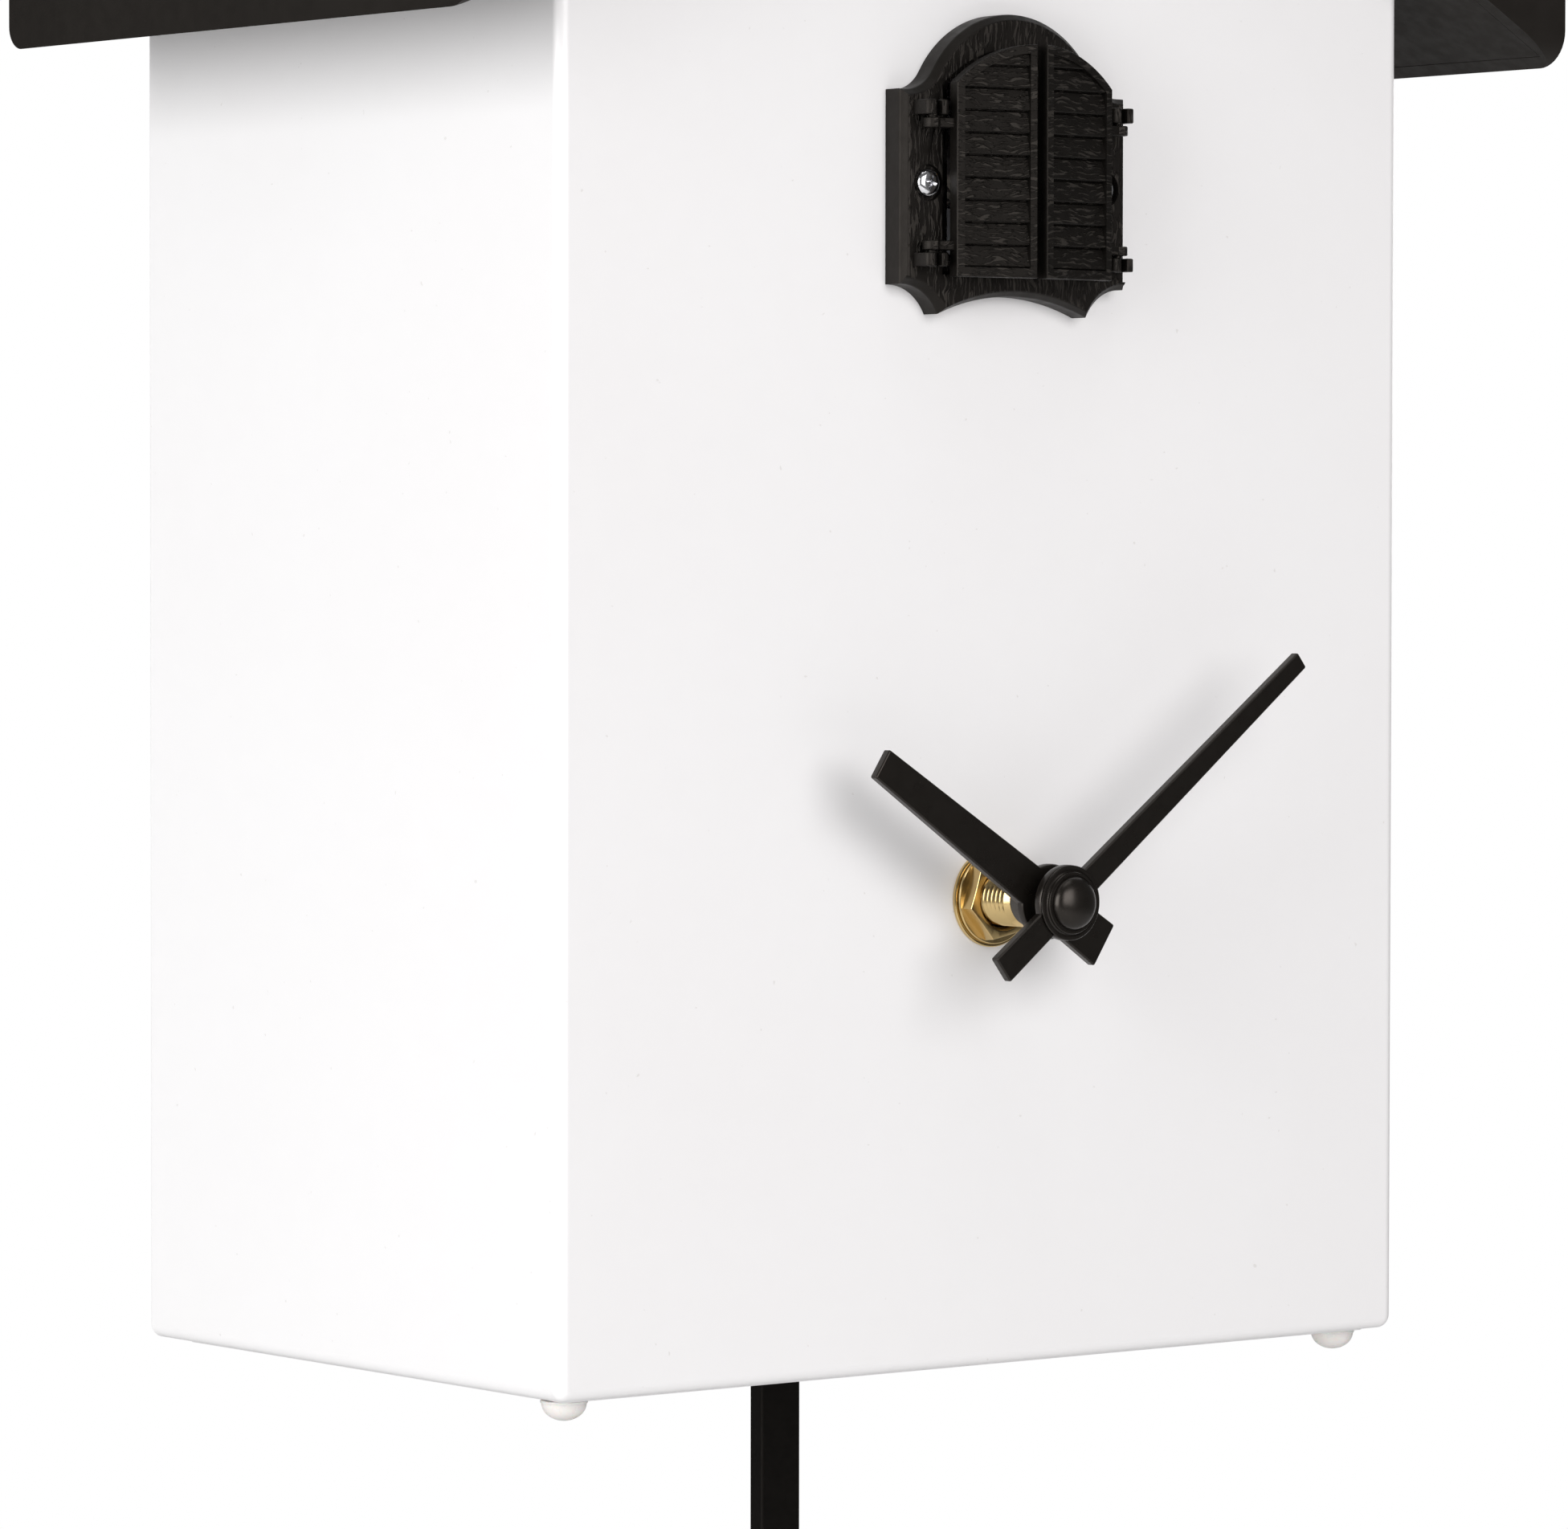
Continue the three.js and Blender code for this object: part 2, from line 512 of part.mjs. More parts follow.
function handCap() {
  const base = MINUTE.front - 0.1;
  const disc = base - CAP.disc;
  const step = disc - CAP.step;
  const dome = [70, 50, 30, 10].map((degrees) => {
    const a = (degrees * Math.PI) / 180;
    return [CAP.domeRadius * Math.sin(a), step - CAP.dome * Math.cos(a)];
  });
  const profile = [[0, base], [HUB, base], [HUB, disc], [CAP.stepRadius, disc], [CAP.stepRadius, step],
    [CAP.domeRadius, step], ...dome, [0, step - CAP.dome]];
  return cut(
    turned(profile, ARBOR.x, ARBOR.z),
    rod("y", [ARBOR.x, ARBOR.z], SPINDLE.radius + 0.1, base + 1, SPINDLE.front - 0.2, COARSE + 4));
}

function fixingNut() {
  const corner = NUT.across / 2 / Math.cos(Math.PI / 6);
  const points = [0, 1, 2, 3, 4, 5].map((i) => polar(corner, ((i * 60 + NUT.turn) * Math.PI) / 180));
  points.forEach((p) => p.add(new THREE.Vector2(ARBOR.x, ARBOR.z)));
  const hexagon = extrude("y", new THREE.Shape(points), NUT.front, NUT.seat + 0.1);
  return cut(
    hexagon.add(rod("y", [ARBOR.x, ARBOR.z], NUT.flange, NUT.seat, -0.75, FINE)),
    rod("y", [ARBOR.x, ARBOR.z], BUSH.radius + 0.1, -5, 0));
}

const ring = (outer, inner, front, back) => cut(
  rod("y", [ARBOR.x, ARBOR.z], outer, front, back, FINE),
  rod("y", [ARBOR.x, ARBOR.z], inner, front - 1, back + 1));

// ---------------------------------------------------------------- movement

function movementBox(from, to, wallAt) {
  const { half, wall } = MOVEMENT;
  const [x, z] = [ARBOR.x, ARBOR.z];
  const inner = half - wall;
  const [y0, y1] = wallAt === "front" ? [from + wall, to + 1] : [from - 1, to - wall];
  return cut(
    block(x - half, x + half, from, to, z - half, z + half),
    block(x - inner, x + inner, y0, y1, z - inner, z + inner));
}

function movementFront() {
  const { front, split } = MOVEMENT;
  return cut(
    movementBox(front, split, "front"),
    rod("y", [ARBOR.x, ARBOR.z], BUSH.radius + 0.1, front - 1, front + 3),
    rod("y", [ARBOR.x + TRAIN.centre, ARBOR.z], 0.9, front - 1, front + 3, COARSE));
}

// The bush that the hands turn in: it reaches through the case, and a flange holds it in the movement.
function threadedBush() {
  const { radius, bore, front, back, flange, seat } = BUSH;
  const tube = rod("y", [ARBOR.x, ARBOR.z], radius, front, back, FINE);
  return cut(
    tube.add(rod("y", [ARBOR.x, ARBOR.z], flange, seat, back, FINE)),
    rod("y", [ARBOR.x, ARBOR.z], bore, front - 1, back + 1));
}

function movementBack() {
  const { split, back } = MOVEMENT;
  return cut(
    movementBox(split + GAP, back, "back"),
    rod("y", [ARBOR.x, ARBOR.z], SPINDLE.radius + 0.1, back - 3, back + 1, COARSE + 4),
    rod("y", [ARBOR.x + TRAIN.centre, ARBOR.z], 0.9, back - 3, back + 1, COARSE));
}

const WHEEL_ADDENDUM = 0.6; // short teeth on the wheels, because the pinions are small
const PINION_ADDENDUM = 0.85;

function gear(options, from, to, x = ARBOR.x, z = ARBOR.z) {
  return extrude("y", gearShape(options), from, to).translate([x, 0, z]);
}

// The minute arbor: spindle and cannon pinion. A tooth points along +X, at the intermediate wheel.
function minuteArbor() {
  const pinion = gear({ teeth: TRAIN.small, module: TRAIN.minuteModule, addendum: PINION_ADDENDUM }, 9.4, 12);
  return pinion.add(rod("y", [ARBOR.x, ARBOR.z], SPINDLE.radius, SPINDLE.front, SPINDLE.back, COARSE + 4));
}

// The intermediate wheel and pinion, each with a gap on its side towards the arbor.
function intermediateWheel() {
  const x = ARBOR.x + TRAIN.centre;
  const gapTowardsArbor = (teeth) => Math.PI + Math.PI / teeth;
  const wheel = { teeth: TRAIN.minuteWheel, module: TRAIN.minuteModule, addendum: WHEEL_ADDENDUM,
    phase: gapTowardsArbor(TRAIN.minuteWheel) };
  const pinion = { teeth: TRAIN.small, module: TRAIN.hourModule, addendum: PINION_ADDENDUM,
    phase: gapTowardsArbor(TRAIN.small) };
  return join(
    gear(wheel, 9.9, 11.5, x),
    gear(pinion, 6.1, 10, x),
    rod("y", [x, ARBOR.z], 0.75, MOVEMENT.front + 0.4, MOVEMENT.back - 0.4, COARSE));
}

function hourWheel() {
  const wheel = { teeth: TRAIN.hourWheel, module: TRAIN.hourModule, addendum: WHEEL_ADDENDUM };
  return cut(
    gear(wheel, 6.5, 8.1).add(rod("y", [ARBOR.x, ARBOR.z], PIPE.outer, HOUR.front - 0.3, 8.6)),
    rod("y", [ARBOR.x, ARBOR.z], PIPE.inner, -20, 9, COARSE + 4));
}

function stepMotor() {
  const middle = ARBOR.x - 20.5;
  const core = block(middle - 4.5, middle + 4.5, 14.5, 16.5, ARBOR.z - 18, ARBOR.z + 18);
  const bobbin = rod("z", [middle, 15.5], 3.6, ARBOR.z - 11, ARBOR.z + 11, COARSE + 4);
  const flanges = [-12, 11].map((z) =>
    block(middle - 4.7, middle + 4.7, 10.8, 20.2, ARBOR.z + z, ARBOR.z + z + 1));
  return join(core, bobbin, ...flanges);
}

// ---------------------------------------------------------------- chassis and bird drive

const chassisScrews = [-1, 1].map((side) => ({ x: side * 33, z: 122 }));

function chassis() {
  const plate = block(-CHASSIS.half, CHASSIS.half, CHASSIS.front, CHASSIS.back, CHASSIS.bottom, CHASSIS.top);
  const shelf = block(-CHASSIS.shelfHalf, CHASSIS.shelfHalf, CHASSIS.back - 0.5, CHASSIS.shelfBack,
    SHELF.bottom, SHELF.top);
  const gusset = polygon([CHASSIS.back - 0.5, SHELF.bottom + 0.5], [CHASSIS.back - 0.5, 112],
    [60, SHELF.bottom + 0.5]);
  const gussets = [-1, 1].map((side) =>
    extrude("x", gusset, side * CHASSIS.shelfHalf, side * (CHASSIS.shelfHalf - 2)));
  const coilArm = block(-8, 8, 69, 71.5, 93, SHELF.bottom + 0.5);
  return cut(
    join(plate, shelf, ...gussets, coilArm),
    ...chassisScrews.map(({ x, z }) => rod("y", [x, z], 1.5, CHASSIS.front - 1, CHASSIS.back + 1, COARSE)));
}

const RACK_PITCH_Z = CARRIAGE.bottom - 1; // height of the rack's pitch line
const PINION_RADIUS = (RACK.module * RACK.teeth) / 2;
const PINION_Z = RACK_PITCH_Z - PINION_RADIUS;

function birdGuide() {
  const base = SHELF.top + GAP;
  const walls = [-1, 1].map((side) => {
    const section = polygon([side * 2.9, 157], [side * 2.9, 158.3], [side * GUIDE.inner, 158.3],
      [side * GUIDE.inner, 161.9], [side * 3.1, 161.9], [side * 3.1, GUIDE.top],
      [side * GUIDE.outer, GUIDE.top], [side * GUIDE.outer, base], [side * GUIDE.inner, base],
      [side * GUIDE.inner, 157]);
    return extrude("y", section, GUIDE.front, GUIDE.back);
  });
  const ties = [[GUIDE.front, 18], [60, GUIDE.back]].map(([y0, y1]) =>
    block(-GUIDE.outer + 0.5, GUIDE.outer - 0.5, y0, y1, base, base + 2));
  return cut(join(...walls, ...ties), rod("x", [RACK.axisY, PINION_Z], 1.7, -9, 9, COARSE + 4));
}

function carriage() {
  const { module, half, front, back } = RACK;
  const bar = block(-CARRIAGE.half, CARRIAGE.half, CARRIAGE.front, CARRIAGE.back, CARRIAGE.bottom,
    CARRIAGE.top);
  const pitch = Math.PI * module;
  const slope = Math.tan((20 * Math.PI) / 180);
  const halfThick = pitch / 4 - 0.09;
  const tip = 0.7 * module;
  const teeth = [];
  for (let i = Math.ceil((front - RACK.axisY) / pitch); RACK.axisY + (i + 0.5) * pitch < back; i++) {
    const y = RACK.axisY + (i + 0.5) * pitch; // a gap stands over the pinion's top tooth
    const atRoot = halfThick + slope * 1;
    const atTip = halfThick - slope * tip;
    teeth.push(extrude("x", polygon([y - atRoot, CARRIAGE.bottom + 0.1], [y - atTip, RACK_PITCH_Z - tip],
      [y + atTip, RACK_PITCH_Z - tip], [y + atRoot, CARRIAGE.bottom + 0.1]), -half, half));
  }
  const post = block(-1.6, 1.6, 12, 22, CARRIAGE.top - 0.1, 165.3);
  return join(bar, post, ...teeth);
}

function drivePinion() {
  const shape = gearShape({ teeth: RACK.teeth, module: RACK.module, addendum: 0.8, backlash: 0.18,
    phase: Math.PI / 2 });
  const wheel = extrude("x", shape, -2.2, 2.2).translate([0, RACK.axisY, PINION_Z]);
  return wheel.add(rod("x", [RACK.axisY, PINION_Z], 1.4, -GUIDE.outer, GUIDE.outer + 1.5, COARSE + 4));
}

function birdMotor() {
  const [x0, x1] = [GUIDE.outer + 2, GUIDE.outer + 7];
  const gearbox = block(x0, x1, RACK.axisY - 8, RACK.axisY + 8, SHELF.top + GAP, PINION_Z + 8);
  const can = rod("x", [RACK.axisY, PINION_Z], 7.2, x1 - 0.5, x1 + 15);
  const tail = rod("x", [RACK.axisY, PINION_Z], 2.4, x1 + 14, x1 + 17, COARSE + 4);
  return join(gearbox, can, tail);
}

function birdBody() {
  const body = ellipsoid(0, BIRD.bodyY, BIRD.bodyZ, 5.8, 10.5, 5.6);
  const head = ellipsoid(0, BIRD.headY, BIRD.headZ, 4.6, BIRD.headRadius, 4.6);
  const wings = [-1, 1].map((side) => ellipsoid(side * 5.2, BIRD.bodyY + 3, BIRD.bodyZ + 0.8, 1.5, 8.5, 3.6));
  const tail = extrude("x", polygon([22, 170], [24, 174.5], [BIRD.tailEnd, 178.5], [BIRD.tailEnd, 176.5]),
    -2.6, 2.6);
  return cut(join(body, head, ...wings, tail), block(-3, 3, 11, 23, 160, 165.3 + GAP));
}

function birdBeak() {
  const base = BIRD.headY - BIRD.headRadius - 0.1;
  const geometry = new THREE.ConeGeometry(1.5, base - BIRD.beakTip, 12);
  geometry.rotateX(-Math.PI / 2);
  geometry.translate(0, (base + BIRD.beakTip) / 2, BIRD.headZ - 0.4);
  return solid(geometry);
}

// ---------------------------------------------------------------- pendulum

function pendulumBracket() {
  const cheeks = [[47.6, 49.2], [56.2, 57.8]].map(([y0, y1]) =>
    block(-6, 6, y0, y1, 121, SHELF.bottom - GAP));
  const bridge = block(-6, 6, 47.6, 57.8, 135.6, SHELF.bottom - GAP);
  return cut(join(bridge, ...cheeks), rod("y", [0, SWING.z], SWING.pin + 0.1, 40, 65, COARSE));
}

function pendulumHanger() {
  const plate = block(-4.5, 4.5, 53.1, 55.1, 86, 131);
  const peg = rod("y", [0, 92], 1.4, 49.2, 53.3, COARSE);
  const lip = rod("y", [0, 92], 2.2, 48.4, 49.4, COARSE);
  return cut(join(plate, peg, lip), rod("y", [0, SWING.z], SWING.pin + 0.15, 50, 60, COARSE));
}

function pendulumRod() {
  return cut(
    block(-ROD.halfWidth, ROD.halfWidth, ROD.front, ROD.back, BOB.z + BOB.radius + GAP, ROD.top),
    rod("y", [0, 92], 1.55, 40, 60, COARSE));
}

function pendulumBob() {
  const middle = (ROD.front + ROD.back) / 2;
  const { radius, thick, z } = BOB;
  return turned([[0, middle - thick / 2], [radius - 1, middle - thick / 2], [radius, middle - thick / 2 + 1],
    [radius, middle + thick / 2 - 1], [radius - 1, middle + thick / 2], [0, middle + thick / 2]], 0, z);
}

function pendulumCoil() {
  return cut(rod("y", [0, 102], 8, 60.5, 68.7), rod("y", [0, 102], 3, 60, 69, COARSE + 4));
}

// ---------------------------------------------------------------- power, sound and switch

function batteryBox() {
  const { half, bottom, top, front, back, wall } = BAY;
  return cut(
    block(-half, half, front, back, bottom, top - 1.2),
    block(-half + wall, half - wall, front + wall, back + 1, bottom + wall, top - 1.2 - wall));
}

function cell(z) {
  const half = CELL.length / 2;
  return join(
    rod("x", [CELL.y, z], CELL.radius, -half, half),
    rod("x", [CELL.y, z], 2.7, half - 0.1, half + 1.2, COARSE));
}

// The contact strip at one end of the cells; the springs stand on the left one.
function contactStrip(side) {
  const outer = side * (BAY.half - BAY.wall - 0.2);
  const inner = side * (BAY.half - BAY.wall - 0.7);
  const [x0, x1] = [outer, inner].sort((a, b) => a - b);
  const strip = block(x0, x1, CELL.y - 4, CELL.y + 4, CELL.rows[0] - 5, CELL.rows[2] + 5);
  if (side > 0) return strip;
  const springs = CELL.rows.map((z) => {
    const geometry = new THREE.CylinderGeometry(2.2, 4, 2.4, 12);
    geometry.rotateZ(-Math.PI / 2);
    geometry.translate(x1 + 1.15, CELL.y, z);
    return solid(geometry);
  });
  return join(strip, ...springs);
}

function batteryDoor() {
  const { half, bottom, top } = BATTERY_DOOR;
  const panel = block(-half, half, COVER.front, CASE.wallPlane - 0.1, bottom, top);
  const rib = block(-half + 3, half - 3, COVER.front - 0.6, COVER.front + 0.1, bottom + 4, bottom + 5.2);
  const grips = [0, 1, 2, 3].map((i) =>
    block(-6, 6, CASE.wallPlane - 0.6, 106, bottom + 4 + i * 2, bottom + 5 + i * 2));
  return cut(panel.add(rib), ...grips);
}

function speakerFrame() {
  const { x, z, radius, front, back } = SPEAKER;
  const profile = [[12.4, front], [13.8, front], [23, back - 3], [radius, back - 3], [radius, back],
    [22.4, back], [22.4, back - 1.6], [12.4, front + 1.6]];
  return turned([...profile, profile[0]], x, z);
}

function speakerCone() {
  const { x, z, front, back } = SPEAKER;
  const profile = [[0, front + 3.2], [6, front + 2.2], [21.6, back - 1.8], [22, back - 1.2], [6, front + 3.4],
    [0, front + 4.6]];
  return turned(profile, x, z);
}

const boardAt = { x0: -68, x1: -22, z0: 14, z1: 52, y: 93 };

function soundBoard() {
  const { x0, x1, z0, z1, y } = boardAt;
  const chips = [[-60, -50, 22, 32], [-44, -36, 36, 44], [-34, -26, 18, 26]].map(([a, b, c, d]) =>
    block(a, b, y - 2.4, y + 0.1, c, d));
  return join(block(x0, x1, y, y + 1.6, z0, z1), ...chips);
}

function switchSlider() {
  const { x, z } = SWITCH;
  return join(
    block(x - 1.3, x + 1.3, COVER.front - 2.4, CASE.wallPlane - 0.2, z - 1, z + 1),
    block(x - 2.2, x + 2.2, COVER.front - 2.6, COVER.front - 1.2, z - 1.9, z + 1.9));
}

function switchBody() {
  const { x, z, travel } = SWITCH;
  const [x0, x1] = [x - 4, x + travel + 4];
  const [y0, y1] = [COVER.front - 7.5, COVER.front - GAP];
  return cut(
    block(x0, x1, y0, y1, z - 3.4, z + 3.4),
    block(x0 + 1.4, x1 - 1.4, y1 - 2.7, y1 + 1, z - 2.1, z + 2.1));
}

// ---------------------------------------------------------------- assembly

add("front_shell", frontShell(), WHITE);
add("rear_cover", rearCover(), WHITE);
add("floor_plate", floorPlate(), WHITE);
add("roof_cover", roofCover(), BLACK);
add("roof_liner", roofLiner(), BLACK);
for (const [end, side] of [["left", -1], ["right", 1]])
  add(`foot_${end}`, foot(side * FOOT.x, FOOT.y), RUBBER);
caseScrews.forEach(({ x, z }, i) =>
  add(`case_screw_${i + 1}`, screw(x, z, CASE_SCREW.seat + 0.05, 1, 2.4, 1.2, 12), STEEL));

add("door_plate", doorPlate(), GRAINED);
addDoor("door_left", -1);
addDoor("door_right", 1);
for (const [end, side] of [["left", -1], ["right", 1]])
  add(`plate_screw_${end}`, plateScrew(side), STEEL);

addHand("hour_hand", hourHand(), HOUR.clock);
addHand("minute_hand", hand(MINUTE, SPINDLE.radius + 0.1), MINUTE.clock);
add("hand_cap", handCap(), BLACK);
add("fixing_nut", fixingNut(), BRASS);
add("brass_washer", ring(7, BUSH.radius + 0.1, -0.65, -0.05), BRASS);
add("rubber_washer", ring(9, BUSH.radius + 0.1, WALL + 0.1, MOVEMENT.front - 0.1), RUBBER);

add("threaded_bush", threadedBush(), BRASS);
add("movement_front", movementFront(), DARK_PLASTIC);
add("movement_back", movementBack(), DARK_PLASTIC);
add("minute_arbor", minuteArbor(), BRASS);
add("hour_wheel", hourWheel(), GEAR_PLASTIC);
add("intermediate_wheel", intermediateWheel(), GEAR_PLASTIC);
add("step_motor", stepMotor(), COPPER);

add("chassis", chassis(), DARK_PLASTIC);
chassisScrews.forEach(({ x, z }, i) =>
  add(`chassis_screw_${i + 1}`, screw(x, z, CHASSIS.back + 0.1, 1, 2.4, 1.15, 6), STEEL));
add("bird_guide", birdGuide(), GREY_PLASTIC);
add("carriage", carriage(), GREY_PLASTIC);
add("drive_pinion", drivePinion(), GEAR_PLASTIC);
add("bird_motor", birdMotor(), STEEL);
add("bird_body", birdBody(), FEATHER);
add("bird_beak", birdBeak(), BEAK);

add("pendulum_bracket", pendulumBracket(), GREY_PLASTIC);
add("pivot_pin", rod("y", [0, SWING.z], SWING.pin, 47, 58.4, COARSE), STEEL);
add("pendulum_hanger", pendulumHanger(), GREY_PLASTIC);
add("pendulum_magnet", rod("y", [0, 102], 4.2, 55.3, 58.8), STEEL);
add("pendulum_coil", pendulumCoil(), COPPER);
add("pendulum_rod", pendulumRod(), BLACK);
add("pendulum_bob", pendulumBob(), BLACK);

add("battery_box", batteryBox(), DARK_PLASTIC);
CELL.rows.forEach((z, i) => add(`battery_${i + 1}`, cell(z), CELL_JACKET));
add("contact_positive", contactStrip(1), STEEL);
add("contact_springs", contactStrip(-1), STEEL);
add("battery_door", batteryDoor(), WHITE);
add("speaker_frame", speakerFrame(), STEEL);
add("speaker_cone", speakerCone(), PAPER);
add("speaker_magnet", rod("y", [SPEAKER.x, SPEAKER.z], 12, SPEAKER.front - 7, SPEAKER.front - GAP), STEEL);
add("sound_board", soundBoard(), BOARD);
add("switch_body", switchBody(), DARK_PLASTIC);
add("switch_slider", switchSlider(), BLACK);

export default clock;
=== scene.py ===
"""The looks of a modern cuckoo clock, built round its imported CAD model.

Shapes are drawn in the case's own frame, in millimetres: x to the right of someone facing the clock,
y from the front face back towards the wall, z up from the bottom edge of the case. `place` moves them
into the row's frame, whose offsets come from the front shell's own box.
"""

from math import acos, asin, atan2, cos, degrees, pi, radians, sin, sqrt, tan

import bmesh
import bpy
import numpy as np
from mathutils import Matrix, Vector


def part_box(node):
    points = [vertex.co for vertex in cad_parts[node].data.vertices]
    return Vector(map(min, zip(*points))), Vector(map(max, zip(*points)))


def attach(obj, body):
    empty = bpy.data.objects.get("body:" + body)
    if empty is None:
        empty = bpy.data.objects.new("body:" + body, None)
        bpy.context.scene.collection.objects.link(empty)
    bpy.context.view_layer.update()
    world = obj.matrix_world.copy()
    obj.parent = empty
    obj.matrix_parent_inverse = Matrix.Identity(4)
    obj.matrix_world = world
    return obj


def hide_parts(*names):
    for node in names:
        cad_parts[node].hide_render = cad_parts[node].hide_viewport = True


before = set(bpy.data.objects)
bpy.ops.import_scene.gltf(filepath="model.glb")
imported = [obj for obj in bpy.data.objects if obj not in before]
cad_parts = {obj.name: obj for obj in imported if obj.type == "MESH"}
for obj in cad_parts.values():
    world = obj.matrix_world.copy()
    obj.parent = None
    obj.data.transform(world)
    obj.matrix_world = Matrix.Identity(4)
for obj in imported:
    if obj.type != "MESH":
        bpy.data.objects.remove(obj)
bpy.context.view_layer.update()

MM = 0.001
FACE_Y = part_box("front_shell")[0].y  # the front face of the case
BASE_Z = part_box("front_shell")[0].z  # its bottom edge


def place(points):
    """Case millimetres to row metres."""
    return np.asarray(points, float).reshape(-1, 3) * MM + np.array([0.0, FACE_Y, BASE_Z])


def cad(node):
    """A CAD node's box in case millimetres."""
    low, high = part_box(node)
    shift = Vector((0, FACE_Y, BASE_Z))
    return (low - shift) / MM, (high - shift) / MM


def middle(node):
    """The middle of a CAD node's box."""
    low, high = cad(node)
    return (low + high) / 2


# ---- sizes, in case millimetres

WALL_PLANE = cad("rear_cover")[1].y
HALF_WIDTH = cad("front_shell")[1].x
DEPTH = cad("front_shell")[1].y
PITCH = radians(30)
ROOF_LOW, ROOF_HIGH = cad("roof_cover")
EAVE = ROOF_LOW.z
ROOF_HALF = ROOF_HIGH.x
RIDGE = EAVE + ROOF_HALF * tan(PITCH)
ROOF_THICK = ROOF_HIGH.z - RIDGE
WALL = 2.5
COVER = 1.7  # thickness of the rear cover
SKIN = 2.6  # thickness of the roof's shell
ARBOR_X, ARBOR_Z = middle("brass_washer").xz
ARBOR = (ARBOR_X, ARBOR_Z)
BUSH_HOLE = 4.3
HOUR_FRONT = cad("hour_hand")[0].y
MINUTE_FRONT = cad("minute_hand")[0].y
HOUR_ANGLE, MINUTE_ANGLE = 303.4, 52.5  # clockwise from twelve, in degrees
PLATE_FACE = -4.2
SCREW_X, SCREW_Z, SCREW_HEAD = 16.3, 167.9, 2.0
SCREW_BASES = {-1: -3.75, 1: -3.2}  # how deep the left and right plate screws sit
HINGE_X, HINGE_Y, AJAR = 17.05, -6.1, 6.7
HINGES = ((177.3, 179.4), (156.1, 158.0))  # heights of the lugs
ARMS = ((175.5, 176.9), (158.4, 159.7))  # heights of the arms that the doors hang on
LEAF_FRONT, LEAF_BACK = -7.9, -5.9
LEAF_BOTTOM, LEAF_ARCH_Z, LEAF_ARCH = 154.7, 167.55, 20.1
FRONT_CUT, BACK_CUT = (-2, 6), (95, 106)  # spans of the tools that cut right through the front and the back


# ---- outlines

def arc(u, v, radius, start, end, steps=12):
    """Points on an arc, in degrees, both ends included."""
    angles = [radians(start + (end - start) * i / steps) for i in range(steps + 1)]
    return [(u + radius * cos(a), v + radius * sin(a)) for a in angles]


def circle(u, v, radius, steps=48):
    return arc(u, v, radius, 0, 360 - 360 / steps, steps - 1)


def rectangle(u0, u1, v0, v1):
    return [(u0, v0), (u1, v0), (u1, v1), (u0, v1)]


def oval(u, v, half_u, half_v, steps=20):
    angles = [2 * pi * i / steps for i in range(steps)]
    return [(u + half_u * cos(a), v + half_v * sin(a)) for a in angles]


def counter_clockwise(points):
    p = np.array(points)
    area = (p[:, 0] * np.roll(p[:, 1], -1) - np.roll(p[:, 0], -1) * p[:, 1]).sum()
    return [tuple(q) for q in (p if area > 0 else p[::-1])]


def rounded(corners, radii, steps=8):
    """A counter-clockwise polygon with each corner rounded to its own radius."""
    made = []
    count = len(corners)
    radii = [radii] * count if isinstance(radii, (int, float)) else radii
    for i, radius in enumerate(radii):
        here = Vector(corners[i])
        back = (Vector(corners[i - 1]) - here).normalized()
        on = (Vector(corners[(i + 1) % count]) - here).normalized()
        if radius == 0:
            made.append(tuple(here))
            continue
        half = back.angle(on) / 2
        centre = here + (back + on).normalized() * radius / sin(half)
        first = here + back * radius / tan(half) - centre
        last = here + on * radius / tan(half) - centre
        start = atan2(first.y, first.x)
        sweep = atan2(last.y, last.x) - start
        sweep = (sweep + pi) % (2 * pi) - pi
        for k in range(steps + 1):
            a = start + sweep * k / steps
            made.append((centre.x + radius * cos(a), centre.y + radius * sin(a)))
    return made


def inset(points, distance):
    """Moves a counter-clockwise outline inwards, keeping its number of points."""
    p = np.array(points, float)
    before = p - np.roll(p, 1, 0)
    after = np.roll(p, -1, 0) - p
    before /= np.linalg.norm(before, axis=1)[:, None] + 1e-12
    after /= np.linalg.norm(after, axis=1)[:, None] + 1e-12
    n1 = np.stack([-before[:, 1], before[:, 0]], 1)
    n2 = np.stack([-after[:, 1], after[:, 0]], 1)
    return p + distance * (n1 + n2) / (1 + (n1 * n2).sum(1))[:, None]


# ---- solids

AXIS = {
    "x": lambda u, v, w: (w, u, v),
    "y": lambda u, v, w: (u, w, v),
    "z": lambda u, v, w: (u, v, w),
}


def loft(rings, axis="y"):
    """Joins rings of equal length, each (outline, distance along the axis), and closes both ends."""
    count = len(rings[0][0])
    points = [AXIS[axis](u, v, w) for outline, w in rings for u, v in outline]
    last = (len(rings) - 1) * count
    faces = [(k + i, k + (i + 1) % count, k + count + (i + 1) % count, k + count + i)
             for k in range(0, last, count) for i in range(count)]
    faces += [tuple(reversed(range(count))), tuple(range(last, last + count))]
    return np.array(points, float), faces


def fillet_rings(outline, start, end, start_radius, end_radius, steps=5):
    """The rings of a prism whose two rims are rounded."""
    sign = 1 if end > start else -1
    angles = [radians(90 * k / steps) for k in range(steps + 1)]
    first = [(inset(outline, start_radius * (1 - sin(a))), start + sign * start_radius * (1 - cos(a)))
             for a in angles]
    return first + [(inset(outline, end_radius * (1 - cos(a))), end - sign * end_radius * (1 - sin(a)))
                    for a in angles]


